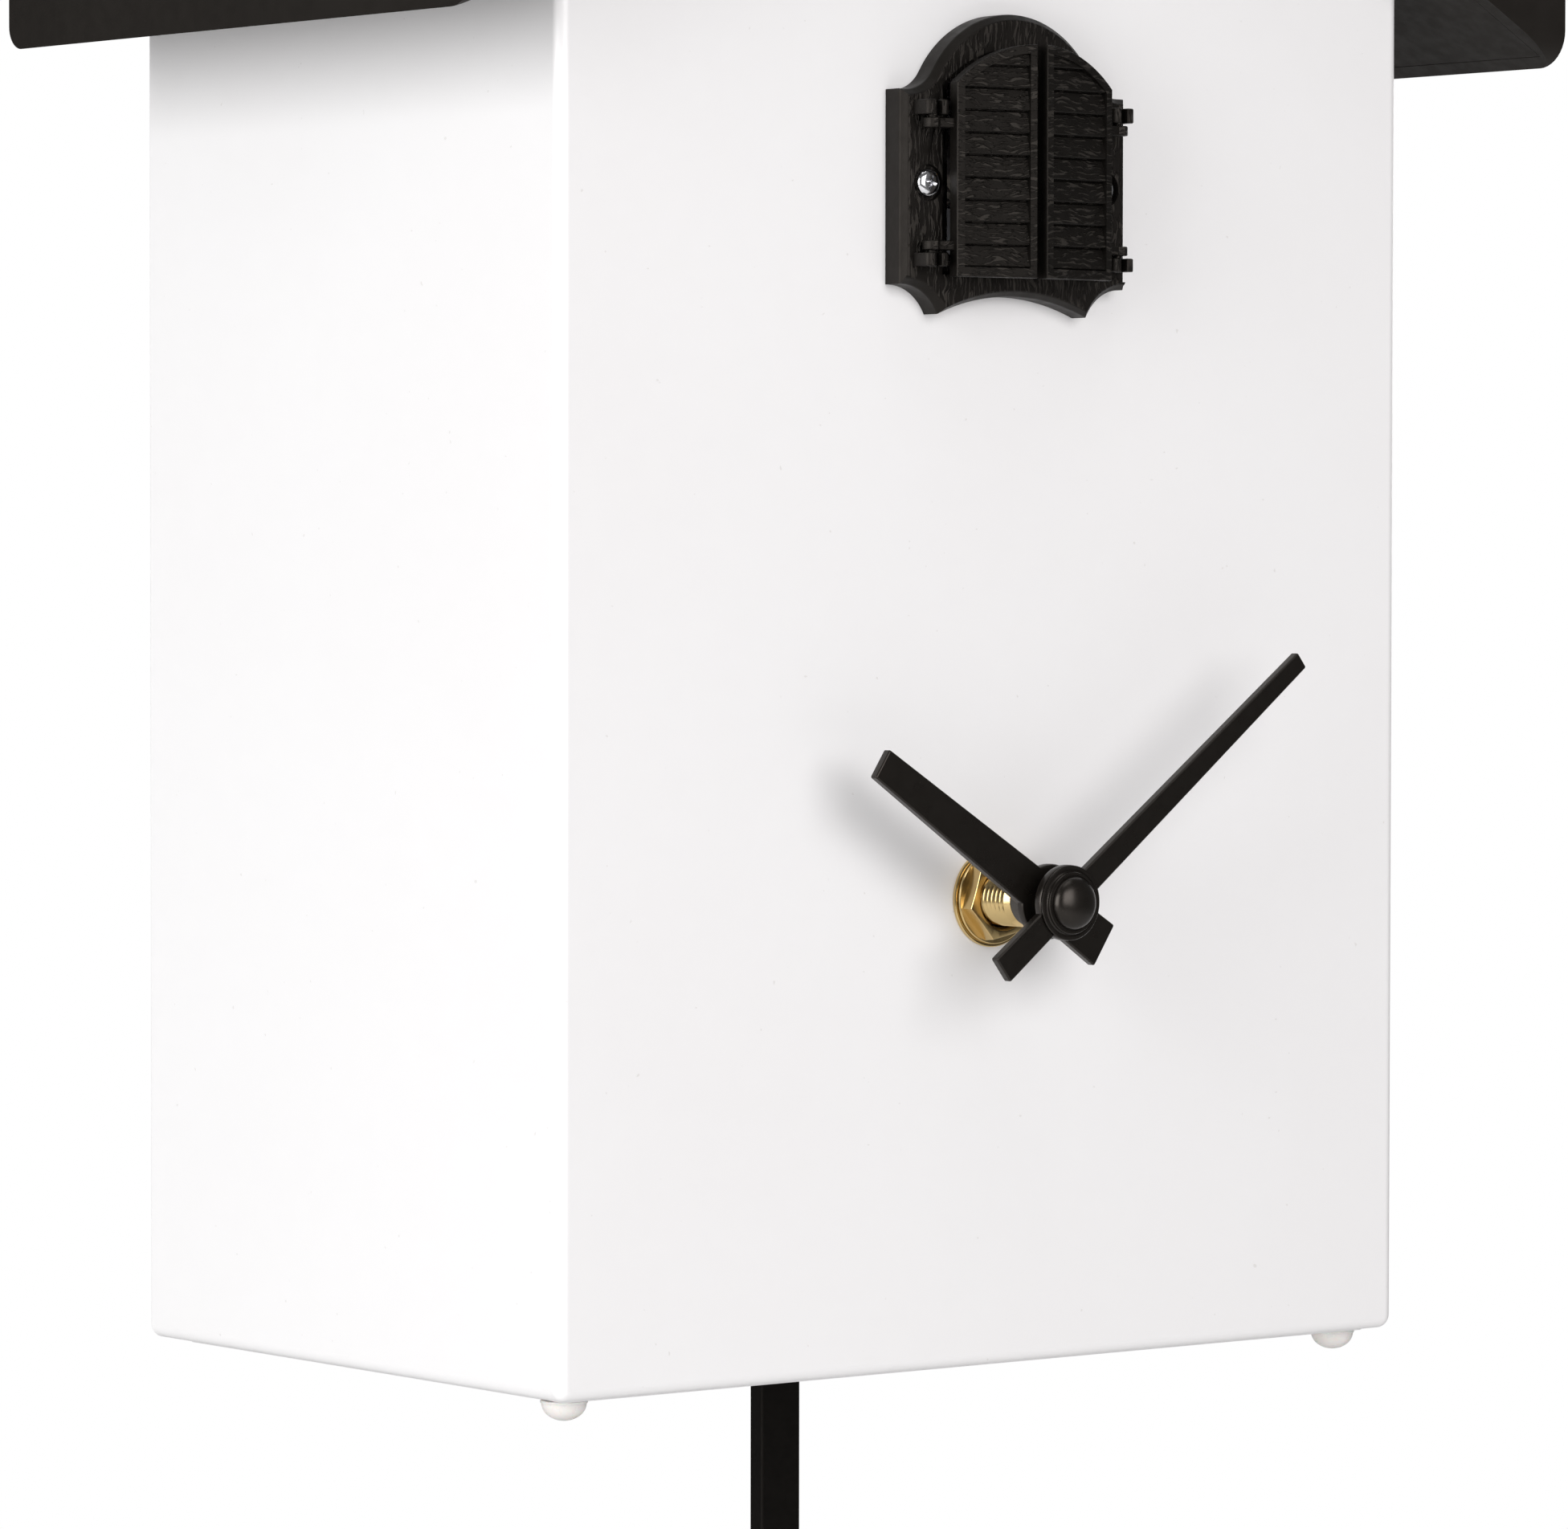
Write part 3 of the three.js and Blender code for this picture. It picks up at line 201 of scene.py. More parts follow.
def prism(outline, start, end, start_radius=0.0, end_radius=0.0, axis="y", steps=5):
    """An outline pushed along an axis, with rounded rims where a radius is given."""
    rings = []
    for ring in fillet_rings(outline, start, end, start_radius, end_radius, steps):
        if not rings or abs(ring[1] - rings[-1][1]) > 1e-6 or np.abs(ring[0] - rings[-1][0]).max() > 1e-6:
            rings.append(ring)
    return loft(rings, axis)


def bar(x0, x1, y0, y1, z0, z1, radius=0.0, steps=3, axis="y"):
    """A box with every edge rounded."""
    low, high = (x0, y0, z0), (x1, y1, z1)
    w = "xyz".index(axis)
    u, v = [i for i in range(3) if i != w]
    corners = rectangle(low[u], high[u], low[v], high[v])
    outline = rounded(corners, radius, steps) if radius else corners
    return prism(outline, low[w], high[w], radius, radius, axis, steps)


def lathe(profile, centre, axis="y", sides=64):
    """Turns (radius, distance) points about an axis through centre. Ends on the axis are closed."""
    points, faces, rings = [], [], []
    for radius, w in profile:
        if radius < 1e-6:
            points.append(AXIS[axis](centre[0], centre[1], w))
            rings.append([len(points) - 1] * sides)
            continue
        rings.append(list(range(len(points), len(points) + sides)))
        points += [AXIS[axis](u, v, w) for u, v in oval(*centre, radius, radius, sides)]
    for a, b in zip(rings, rings[1:]):
        for i in range(sides):
            j = (i + 1) % sides
            corners = tuple(dict.fromkeys((a[i], a[j], b[j], b[i])))
            if len(corners) > 2:
                faces.append(corners)
    return np.array(points, float), faces


def tube(profile, centre, axis="y", sides=64):
    """A turned piece whose profile closes on itself, so that it has a hole."""
    points, faces = lathe(profile + profile[:1], centre, axis, sides)
    count = len(points) - sides
    return points[:count], [tuple(i % count for i in face) for face in faces]


def turned(shape, angle, centre, axis="y"):
    """Turns a shape about an axis through centre, by the right-hand rule, in degrees."""
    points, faces = shape
    matrix = np.array(Matrix.Rotation(radians(angle), 3, axis.upper()))
    centre = np.array(centre, float)
    return (points - centre) @ matrix.T + centre, faces


def mirrored(shape):
    """The same shape on the other side of the case's middle plane."""
    points, faces = shape
    return points * np.array([-1, 1, 1]), [tuple(reversed(f)) for f in faces]


def together(*shapes):
    """Several shapes as one."""
    points, faces, first = [], [], 0
    for p, f in shapes:
        points.append(p)
        faces += [tuple(i + first for i in face) for face in f]
        first += len(p)
    return np.concatenate(points), faces


def new_object(name, data):
    """A Blender object for some data, linked into the scene."""
    obj = bpy.data.objects.new(name, data)
    bpy.context.scene.collection.objects.link(obj)
    return obj


def solid(name, shape):
    """A Blender object for a shape, with its faces turned outwards."""
    points, faces = shape
    mesh = bpy.data.meshes.new(name)
    mesh.from_pydata([tuple(p) for p in place(points)], [], faces)
    made = bmesh.new()
    made.from_mesh(mesh)
    bmesh.ops.remove_doubles(made, verts=made.verts, dist=1e-7)
    bmesh.ops.recalc_face_normals(made, faces=made.faces)
    made.to_mesh(mesh)
    made.free()
    return new_object(name, mesh)


def as_shape(obj):
    """Turns a Blender object back into a shape, and removes it."""
    points = (np.array([v.co for v in obj.data.vertices]) - np.array([0, FACE_Y, BASE_Z])) / MM
    faces = [tuple(p.vertices) for p in obj.data.polygons]
    bpy.data.objects.remove(obj)
    return points, faces


def settle(obj):
    """Applies an object's modifiers to its mesh."""
    evaluated = obj.evaluated_get(bpy.context.evaluated_depsgraph_get())
    mesh = bpy.data.meshes.new_from_object(evaluated)
    obj.modifiers.clear()
    old, obj.data = obj.data, mesh
    bpy.data.meshes.remove(old)


def soften(obj, width, segments, sharp):
    """Bevels the edges where faces turn by more than an angle in degrees."""
    bevel = obj.modifiers.new("soften", "BEVEL")
    bevel.width = width * MM
    bevel.segments = segments
    bevel.limit_method = "ANGLE"
    bevel.angle_limit = radians(sharp)


def boolean(obj, operation, shapes):
    """Joins, cuts or intersects an object with shapes, one after another."""
    for shape in shapes:
        tool = solid("tool", shape)
        step = obj.modifiers.new(operation.lower(), "BOOLEAN")
        step.operation = operation
        step.solver = "EXACT"
        step.object = tool
        settle(obj)
        bpy.data.objects.remove(tool)


def cut(obj, *shapes):
    boolean(obj, "DIFFERENCE", shapes)


def common(obj, *shapes):
    boolean(obj, "INTERSECT", shapes)


def fuse(obj, *shapes):
    boolean(obj, "UNION", shapes)


def dress(obj, look, body, sharp=32):
    """Smooths a piece and gives it its material and body."""
    mesh = obj.data
    mesh.materials.clear()
    mesh.materials.append(look)
    for polygon in mesh.polygons:
        polygon.use_smooth = True
        polygon.material_index = 0
    mesh.set_sharp_from_angle(angle=radians(sharp))
    weighted = obj.modifiers.new("even normals", "WEIGHTED_NORMAL")
    weighted.keep_sharp = True
    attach(obj, body)


def finish(obj, look, body, node, sharp=32):
    """Dresses a piece that stands in for a CAD node."""
    dress(obj, look, body, sharp)
    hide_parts(node)


def piece(name, shape, look, body, node, sharp=32):
    finish(solid(name, shape), look, body, node, sharp)


def extra(name, shape, look, body, sharp=32):
    """A piece that adds detail and stands for no CAD node of its own."""
    dress(solid(name, shape), look, body, sharp)


# ---- materials

COLOUR_A, MIXED_COLOUR = 6, 2  # the Mix node's first colour input and its colour output
WARM = (1.0, 0.9, 0.82, 1)  # the tint of reflections in the black parts


class Look:
    """A procedural material, in the object's own coordinates, with scales given per millimetre."""

    def __init__(self, name, colour, roughness, metallic=0.0, **sockets):
        self.material = bpy.data.materials.new(name)
        self.material.use_nodes = True
        self.nodes = self.material.node_tree.nodes
        self.links = self.material.node_tree.links
        self.shader = self.nodes["Principled BSDF"]
        self.set("Base Color", (*colour, 1))
        self.set("Roughness", roughness)
        self.set("Metallic", metallic)
        self.colour = colour
        for socket, value in sockets.items():
            self.set(socket.replace("_", " "), value)
        self.texture = self.nodes.new("ShaderNodeTexCoord")
        self.coordinates = self.texture.outputs["Object"]
        self.normal = None

    def set(self, socket, value):
        self.shader.inputs[socket].default_value = value

    def mapped(self, stretch=(1, 1, 1)):
        """The object's coordinates in millimetres, stretched if asked."""
        node = self.nodes.new("ShaderNodeMapping")
        node.inputs["Scale"].default_value = [s / MM for s in stretch]
        self.links.new(self.coordinates, node.inputs["Vector"])
        return node.outputs["Vector"]

    def split(self, vector):
        node = self.nodes.new("ShaderNodeSeparateXYZ")
        self.links.new(vector, node.inputs[0])
        return node.outputs

    def noise(self, scale, stretch=(1, 1, 1), detail=3.0, distortion=0.0, vector=None):
        node = self.nodes.new("ShaderNodeTexNoise")
        node.inputs["Scale"].default_value = scale
        node.inputs["Detail"].default_value = detail
        node.inputs["Roughness"].default_value = 0.5
        node.inputs["Distortion"].default_value = distortion
        self.links.new(vector or self.mapped(stretch), node.inputs["Vector"])
        return node.outputs["Fac"]

    def ramp(self, source, low, high, from_value=0.0, to_value=1.0):
        """A smooth step from one value to another as the source passes from low to high."""
        node = self.nodes.new("ShaderNodeMapRange")
        node.interpolation_type = "SMOOTHSTEP"
        values = {"From Min": low, "From Max": high, "To Min": from_value, "To Max": to_value}
        for socket, value in values.items():
            node.inputs[socket].default_value = value
        self.links.new(source, node.inputs["Value"])
        return node.outputs["Result"]

    def maths(self, operation, *inputs):
        node = self.nodes.new("ShaderNodeMath")
        node.operation = operation
        for socket, value in zip(node.inputs, inputs):
            if isinstance(value, (int, float)):
                socket.default_value = value
            else:
                self.links.new(value, socket)
        return node.outputs["Value"]

    def tint(self, source, other):
        """Mixes the base colour towards another where the source is high."""
        node = self.nodes.new("ShaderNodeMix")
        node.data_type = "RGBA"
        first, second = node.inputs[COLOUR_A], node.inputs[COLOUR_A + 1]
        now = self.shader.inputs["Base Color"]
        if now.is_linked:
            self.links.new(now.links[0].from_socket, first)
        else:
            first.default_value = (*self.colour, 1)
        second.default_value = (*other, 1)
        self.links.new(source, node.inputs["Factor"])
        self.links.new(node.outputs[MIXED_COLOUR], now)

    def mottle(self, scale, detail, low, high, strength, colour):
        """Tints the patches where a noise is high."""
        self.tint(self.ramp(self.noise(scale, detail=detail), low, high, 0.0, strength), colour)

    def gloss(self, source, low, high):
        """Varies the roughness between two values with the source."""
        self.links.new(self.ramp(source, 0.3, 0.7, low, high), self.shader.inputs["Roughness"])

    def bump(self, source, height):
        """Raises the surface by up to `height` millimetres where the source is high."""
        node = self.nodes.new("ShaderNodeBump")
        node.inputs["Strength"].default_value = 1.0
        node.inputs["Distance"].default_value = height * MM
        self.links.new(source, node.inputs["Height"])
        if self.normal is not None:
            self.links.new(self.normal, node.inputs["Normal"])
        self.normal = node.outputs["Normal"]
        self.links.new(self.normal, self.shader.inputs["Normal"])


def white_plastic():
    look = Look("white satin plastic", (0.87, 0.862, 0.865), 0.36, IOR=1.5)
    look.mottle(0.02, 2, 0.35, 0.7, 0.35, (0.855, 0.84, 0.842))
    look.mottle(0.9, 1, 0.79, 0.83, 0.4, (0.62, 0.6, 0.58))  # dust
    look.gloss(look.noise(0.3), 0.32, 0.42)
    look.bump(look.noise(0.25, detail=2), 0.003)
    look.bump(look.noise(6, detail=2), 0.0012)
    return look.material


def black_plastic():
    look = Look("black satin roof plastic", (0.0078, 0.0066, 0.0056), 0.52, IOR=1.34, Specular_Tint=WARM)
    look.mottle(0.05, 3, 0.35, 0.75, 0.5, (0.011, 0.0094, 0.008))
    look.mottle(1.1, 1, 0.8, 0.84, 0.3, (0.1, 0.095, 0.09))  # dust
    look.gloss(look.noise(0.4), 0.48, 0.58)
    look.bump(look.noise(3.5), 0.004)
    return look.material


def grained_plastic(name, across, along, spacing, height):
    """Black moulding embossed with wavy wood grain on its faces and smooth on its sides, its ridges painted
    lighter as a painted highlight.
    """
    look = Look(name, (0.0028, 0.0024, 0.002), 0.46, IOR=1.34, Specular_Tint=WARM)
    spot = look.split(look.mapped())
    drift = look.maths("MULTIPLY", look.noise(0.13, detail=2), 3.4)
    waver = look.maths("MULTIPLY", look.noise(0.55, detail=1), 0.45)
    wavy = look.maths("ADD", look.maths("ADD", spot[across.upper()], drift), waver)
    joined = look.nodes.new("ShaderNodeCombineXYZ")
    look.links.new(wavy, joined.inputs[0])
    look.links.new(look.maths("MULTIPLY", spot[along.upper()], 0.13), joined.inputs[1])
    ridges = look.ramp(look.noise(1.0 / spacing, detail=2, vector=joined.outputs[0]), 0.5, 0.6)
    normal = look.split(look.texture.outputs["Normal"])
    facing = look.ramp(look.maths("ABSOLUTE", normal["Y"]), 0.84, 0.93)
    relief_and_painted_highlight = look.maths("MULTIPLY", ridges, facing)
    # painted highlight: the grain's raised ridges are painted a lighter colour, standing in for the light
    # that catches them
    look.tint(relief_and_painted_highlight, (0.0245, 0.0218, 0.0192))
    look.gloss(look.noise(0.6), 0.42, 0.52)
    look.bump(relief_and_painted_highlight, height)
    look.bump(look.noise(3.4, detail=2), 0.012)
    return look.material


def hand_black():
    look = Look("black enamel", (0.0055, 0.0046, 0.0038), 0.32, IOR=1.43, Specular_Tint=WARM)
    look.mottle(1.6, 1, 0.8, 0.84, 0.3, (0.08, 0.078, 0.075))  # dust
    look.gloss(look.noise(0.6), 0.27, 0.32)
    look.bump(look.noise(5, detail=2), 0.002)
    return look.material


def brass():
    look = Look("machined brass", (0.65, 0.48, 0.225), 0.2, 1.0)
    look.mottle(0.35, 2, 0.4, 0.75, 0.35, (0.56, 0.4, 0.17))
    look.gloss(look.noise(0.9, detail=1), 0.19, 0.24)
    look.bump(look.noise(1.2, detail=1), 0.0004)
    return look.material


def metal(name, colour, low, high, height=0.004):
    look = Look(name, colour, low, 1.0)
    look.mottle(0.7, 3, 0.4, 0.8, 0.5, [c * 0.75 for c in colour])
    look.gloss(look.noise(2), low, high)
    look.bump(look.noise(5, (1, 1, 5), detail=2), height)
    return look.material


def moulded(name, colour, rough, height=0.006, worn=1.25, **sockets):
    """Plain moulded plastic or rubber with a fine texture."""
    look = Look(name, colour, rough, **sockets)
    look.mottle(0.15, 3, 0.35, 0.75, 0.6, [min(1, c * worn) for c in colour])
    look.gloss(look.noise(0.8), rough - 0.05, rough + 0.07)
    look.bump(look.noise(3.2), height)
    return look.material


def wound_wire(name):
    """Enamelled copper wire: fine rings across the winding."""
    look = Look(name, (0.5, 0.2, 0.08), 0.3, 0.9)
    rings = look.maths("SINE", look.maths("MULTIPLY", look.noise(0.4, (6, 6, 6), detail=1), 60.0))
    look.tint(look.ramp(rings, -0.4, 0.8, 0.0, 0.6), (0.3, 0.1, 0.04))
    look.bump(rings, 0.03)
    return look.material


def circuit_board():
    look = Look("circuit board", (0.03, 0.16, 0.05), 0.35)
    tracks = look.ramp(look.noise(0.35, detail=0, distortion=2), 0.5, 0.52, 0.0, 0.7)
    look.tint(tracks, (0.05, 0.24, 0.08))
    look.bump(tracks, 0.03)
    return look.material


def cell_jacket():
    """A battery's sleeve: one dark band by the positive end, and no lettering."""
    look = Look("battery sleeve", (0.06, 0.13, 0.26), 0.28, 0.3)
    along = look.split(look.mapped())["X"]
    look.tint(look.ramp(along, 13.0, 13.2), (0.7, 0.45, 0.1))
    look.tint(look.ramp(along, 24.2, 24.4), (0.7, 0.7, 0.7))
    look.gloss(look.noise(0.5), 0.22, 0.34)
    look.bump(look.noise(0.6, detail=2), 0.01)
    return look.material


def plumage():
    """A grey-brown back and a pale breast with fine dark bars."""
    look = Look("painted plumage", (0.2, 0.185, 0.18), 0.55)
    spot = look.split(look.mapped())
    wobble = look.maths("MULTIPLY", look.noise(0.5), 2.5)
    height = look.maths("ADD", spot["Z"], wobble)
    belly = look.ramp(height, 104.6, 103.2)  # heights in the row's frame, in millimetres
    look.tint(belly, (0.72, 0.67, 0.58))
    bars = look.maths("SINE", look.maths("MULTIPLY", look.maths("ADD", spot["Y"], wobble), 3.2))
    look.tint(look.maths("MULTIPLY", look.ramp(bars, 0.55, 0.8), belly), (0.14, 0.12, 0.11))
    feathers = look.noise(1.4, (1, 0.35, 1), detail=4, distortion=1.2)
    look.gloss(feathers, 0.48, 0.66)
    look.bump(feathers, 0.12)
    return look.material


def glossy_eye():
    look = Look("glossy eye", (0.008, 0.007, 0.006), 0.08, Coat_Weight=1.0)
    look.bump(look.noise(2), 0.002)
    return look.material


WHITE = white_plastic()
ROOF_BLACK = black_plastic()
# both grained mouldings carry a painted highlight on the ridges of their grain
GRAIN_AND_PAINTED_HIGHLIGHT_UP = grained_plastic("grained black with painted ridge highlights, upright", "x", "z", 0.45, 0.5)
GRAIN_AND_PAINTED_HIGHLIGHT_ACROSS = grained_plastic("grained black with painted ridge highlights, level", "z", "x", 0.37, 0.45)
ENAMEL = hand_black()
ROD_BLACK = moulded("black painted metal", (0.0026, 0.0023, 0.002), 0.42, 0.003, 1.4, IOR=1.2,
                    Specular_Tint=WARM)
BRASS = brass()
STEEL = metal("zinc plated steel", (0.62, 0.62, 0.63), 0.24, 0.4)
CHROME = metal("bright plated screw", (0.82, 0.82, 0.84), 0.1, 0.2, 0.002)
SILICONE = moulded("silicone foot", (0.76, 0.735, 0.71), 0.3, 0.003, 1.05,
                   Subsurface_Weight=0.25, Subsurface_Scale=0.002)
RUBBER = moulded("grey rubber", (0.3, 0.3, 0.3), 0.75, 0.01)
DARK = moulded("dark moulded plastic", (0.03, 0.031, 0.034), 0.5)
GREY = moulded("grey moulded plastic", (0.36, 0.37, 0.39), 0.45)
ACETAL = moulded("natural acetal", (0.76, 0.72, 0.6), 0.38, 0.004, 1.08)
SWITCH_BLACK = moulded("black switch plastic", (0.02, 0.02, 0.021), 0.4)
COLLET = moulded("dark grey collet", (0.03, 0.026, 0.022), 0.42, 0.004, 1.4)
COPPER = wound_wire("copper winding")
BOARD = circuit_board()
PAPER = moulded("pressed paper cone", (0.03, 0.028, 0.026), 0.8, 0.03)
SLEEVE = cell_jacket()
PLUMAGE = plumage()
BEAK = moulded("painted beak", (0.72, 0.42, 0.08), 0.35, 0.004)
EYE = glossy_eye()


# ---- case

def gable(margin, bottom):
    """The front outline of the case, moved in by a margin."""
    half = HALF_WIDTH - margin
    peak = RIDGE - 0.3 - margin / cos(PITCH)
    shoulder = peak - half * tan(PITCH)
    return [(-half, bottom), (half, bottom), (half, shoulder), (0, peak), (-half, shoulder)]


def doorway(margin=0.0):
    """The arched doorway, grown by a margin."""
    half, radius, centre, sill = 12 + margin, 18.4 + margin, 167.95, 157 - margin
    reach = degrees(asin(half / radius))
    return [(-half, sill), (half, sill), *arc(0, centre, radius, 90 - reach, 90 + reach, 20)]


def front_shell():
    outline = rounded(gable(0, 0), 2.0)
    shell = solid("case_shell", prism(outline, 0, DEPTH, 1.7, 0.4, steps=6))
    inner = rounded(gable(WALL, -4), [0, 0, 1.0, 1.0, 1.0], 3)
    cut(shell, prism(inner, WALL, DEPTH + 3))
    cut(shell, prism(doorway(), *FRONT_CUT), prism(circle(*ARBOR, BUSH_HOLE), *FRONT_CUT))
    finish(shell, WHITE, "case", "front_shell")


def stadium(x, z, half, radius, steps=8):
    """A level slot with round ends."""
    right = arc(x + half - radius, z, radius, -90, 90, steps)
    left = arc(x - half + radius, z, radius, 90, 270, steps)
    return right + left


def case_screw_places():
    for number in range(1, 5):
        yield number, *middle(f"case_screw_{number}").xz


def rear_cover():
    """The back: a panel with a lip that fits inside the case, and all its openings."""
    bottom = cad("rear_cover")[0].z
    front = WALL_PLANE - COVER
    outline = rounded(gable(2.2, bottom), [1.6, 1.6, 0.8, 0.8, 0.8])
    cover = solid("back_cover", prism(outline, WALL_PLANE, front, 0.6, 0.2))
    lip = solid("lip", prism(gable(WALL + 0.3, bottom + 0.4), 97, front + 0.2))
    cut(lip, prism(gable(WALL + 1.9, 1.2), 90, 110))
    fuse(cover, as_shape(lip))

    # the battery opening
    low, high = cad("battery_door")
    bay = rectangle(low.x - 0.4, high.x + 0.4, low.z - 0.5, high.z + 0.5)
    cut(cover, prism(rounded(bay, 1.2), 100.5, BACK_CUT[1]))

    # the keyhole: a round entry under a narrower slot, and the volume switch's slot
    keyhole = arc(0, 215, 4.5, 150, 390, 30) + arc(0, 224, 2.2, 0, 180, 16)
    keyhole = [p for p in keyhole if p[1] < 219 or abs(p[0]) < 2.3]
    z = middle("switch_slider").z
    slot = rounded(rectangle(32.2, 40.8, z - 1.4, z + 1.4), 0.5)
    cut(cover, prism(keyhole, *BACK_CUT), prism(slot, *BACK_CUT))

    # a boss, a counterbore and a hole for each screw
    for _, x, z in case_screw_places():
        fuse(cover, prism(circle(x, z, 3.3), 100.3, front + 0.2))
        cut(cover, prism(circle(x, z, 2.8), 101.6, BACK_CUT[1]), prism(circle(x, z, 1.6), *BACK_CUT))

    # the speaker's slots, shorter away from its middle
    x, z = middle("speaker_frame").xz
    pitch, reach = 5.5, 21
    for row in range(-3, 4):
        half = sqrt(reach ** 2 - (row * pitch) ** 2)
        cut(cover, prism(stadium(x, z + row * pitch, half, 1.2), *BACK_CUT))
    finish(cover, WHITE, "case", "rear_cover")


def floor_plate():
    """The floor panel, with the slot that the pendulum hangs through."""
    low, high = cad("floor_plate")
    outline = rounded(rectangle(low.x, high.x, low.y, high.y), 1.5)
    plate = solid("floor_panel", prism(outline, low.z, high.z, 0.5, 0.2, "z"))
    cut(plate, prism(rounded(rectangle(-18, 18, 44, 59), 2.0), low.z - 2, high.z + 2, axis="z"))
    finish(plate, WHITE, "case", "floor_plate")


def roof_side(front_radius, back_radius, steps=10):
    """The roof's side outline, with its lower corners rounded: (y, z) points."""
    front, back = ROOF_LOW.y, ROOF_HIGH.y
    top = ROOF_HIGH.z + 10
    lower = arc(front + front_radius, EAVE + front_radius, front_radius, 180, 270, steps)
    lower += arc(back - back_radius, EAVE + back_radius, back_radius, 270, 360, steps)
    return lower + [(back, top), (front, top)]


def chevron(half, under, over):
    """The roof's front outline between two heights above the underside line."""
    edge = RIDGE - half * tan(PITCH)
    return [(half, edge + under), (half, edge + over), (0, RIDGE + over), (-half, edge + over),
            (-half, edge + under), (0, RIDGE + under)]


def roof():
    """The roof cover: a slab with softened edges, open underneath for its liner."""
    slab = solid("roof_shell", prism(chevron(ROOF_HALF, 0, ROOF_THICK), ROOF_LOW.y, ROOF_HIGH.y))
    common(slab, prism(roof_side(5.4, 3.4), -ROOF_HALF - 5, ROOF_HALF + 5, axis="x"))
    soften(slab, 1.5, 5, 24)
    settle(slab)
    hollow = chevron(ROOF_HALF - SKIN, -3, ROOF_THICK - SKIN)
    cut(slab, prism(hollow, ROOF_LOW.y + SKIN, ROOF_HIGH.y - SKIN))
    finish(slab, ROOF_BLACK, "case", "roof_cover")


def roof_liner():
    """The plain panel that closes the roof from below."""
    edge = SKIN + 0.1
    panel = prism(chevron(ROOF_HALF - edge, 0.02, 2.0), ROOF_LOW.y + edge, ROOF_HIGH.y - edge)
    piece("roof_underside", panel, ROOF_BLACK, "case", "roof_liner")


def feet():
    """Two silicone domes on thin flat stems."""
    stem = 0.45
    for node in ("foot_left", "foot_right"):
        low, high = cad(node)
        radius, height = (high.x - low.x) / 2, high.z - low.z
        top = high.z - stem
        dome = [(0.95 * radius * u, top - (height - stem) * v) for u, v in arc(0, 0, 1, 0, 81, 9)]
        profile = [(0, high.z), (radius - 0.1, high.z), (radius, high.z - 0.1), (radius, top + 0.12),
                   (radius - 0.1, top), *dome, (0, low.z)]
        name = node.replace("foot", "dome")
        piece(name, lathe(profile, middle(node).xy, "z"), SILICONE, "case", node, 40)


def pan_screw(name, x, z, base, facing, radius, look, node, turn=0.0):
    """A pan-head screw with a cross recess: its head rises from base towards `facing`."""
    height, core, pitch = radius * 0.6, radius * 0.5, 0.7
    dome = [(radius * (0.42 + 0.58 * u), base + facing * height * (0.3 + 0.7 * v))
            for u, v in arc(0, 0, 1, 0, 90, 8)]
    low, high = cad(node)
    length = high.y - low.y - height
    thread = []
    for k in range(int(length / pitch)):
        y = base - facing * (0.3 + k * pitch)
        thread += [(core * 1.25, y), (core * 0.95, y - facing * pitch / 2)]
    tip = base - facing * length
    profile = [(0, base + facing * height), *reversed(dome), (radius, base), (core, base), *thread,
               (core * 0.6, tip), (0, tip)]
    screw = solid(name, lathe(profile, (x, z), "y", 40))
    arm, half = radius * 0.56, radius * 0.11
    mouth = rectangle(x - arm, x + arm, z - half, z + half)
    end = rectangle(x - arm * 0.45, x + arm * 0.45, z - half * 0.7, z + half * 0.7)
    wing = loft([(mouth, base + facing * (height + 0.2)), (end, base + facing * height * 0.35)])
    for angle in (turn, turn + 90):
        cut(screw, turned(wing, angle, (x, 0, z)))
    finish(screw, look, "case", node, 35)


# ---- door plate and doors

def plate_outline(margin, steps=10):
    """The door plate's outline, moved in by a margin: arched top, hollow shoulders and lower corners."""
    half, side_top = 20.65 - margin, 181.0
    arch_z, arch_r = 175.2, 17.0 - margin
    shoulder_x, hollow = 19.5, 5.57
    shoulder_z, shoulder_r = side_top + hollow, hollow + margin
    lean = degrees(atan2(shoulder_z - arch_z, shoulder_x))
    corner_x, corner_z, corner_r = 20.2, 146.4, 7.25 + margin
    tip_angle = degrees(atan2(3.3, 6.8)) + margin * 3.4
    tip = (corner_x - corner_r * cos(radians(tip_angle)), corner_z + corner_r * sin(radians(tip_angle)))
    rise = 2.7
    apron_r = (tip[0] ** 2 + rise ** 2) / (2 * rise)
    apron_z = tip[1] + rise - apron_r
    reach = degrees(asin(tip[0] / apron_r))
    points = [(half, corner_z + corner_r), (half, side_top - margin)]
    points += arc(shoulder_x, shoulder_z, shoulder_r, -90, -180 + lean, steps)
    points += arc(0, arch_z, arch_r, lean, 180 - lean, 4 * steps)[1:-1]
    points += arc(-shoulder_x, shoulder_z, shoulder_r, -lean, -90, steps)
    points += [(-half, side_top - margin), (-half, corner_z + corner_r)]
    points += arc(-corner_x, corner_z, corner_r, 90, tip_angle, steps)
    points += arc(0, apron_z, apron_r, 90 + reach, 90 - reach, 3 * steps)[1:-1]
    points += arc(corner_x, corner_z, corner_r, 180 - tip_angle, 90, steps)
    return points


def leaf_outline(margin, steps=20):
    """The right shutter's outline, closed: straight sides under a round top."""
    inner, outer, radius = 0.55 + margin, 14.06 - margin, LEAF_ARCH - margin
    bottom = LEAF_BOTTOM + margin * 1.08
    top = arc(0, LEAF_ARCH_Z, radius, degrees(acos(outer / radius)), degrees(acos(inner / radius)), steps)
    return [(inner, bottom), (outer, bottom), *top]


def both_leaves(margin):
    """The outline of both shutters together."""
    right = [p for p in leaf_outline(margin)[1:-1] if p[0] > 0.5]
    return right + [(-x, z) for x, z in reversed(right)]


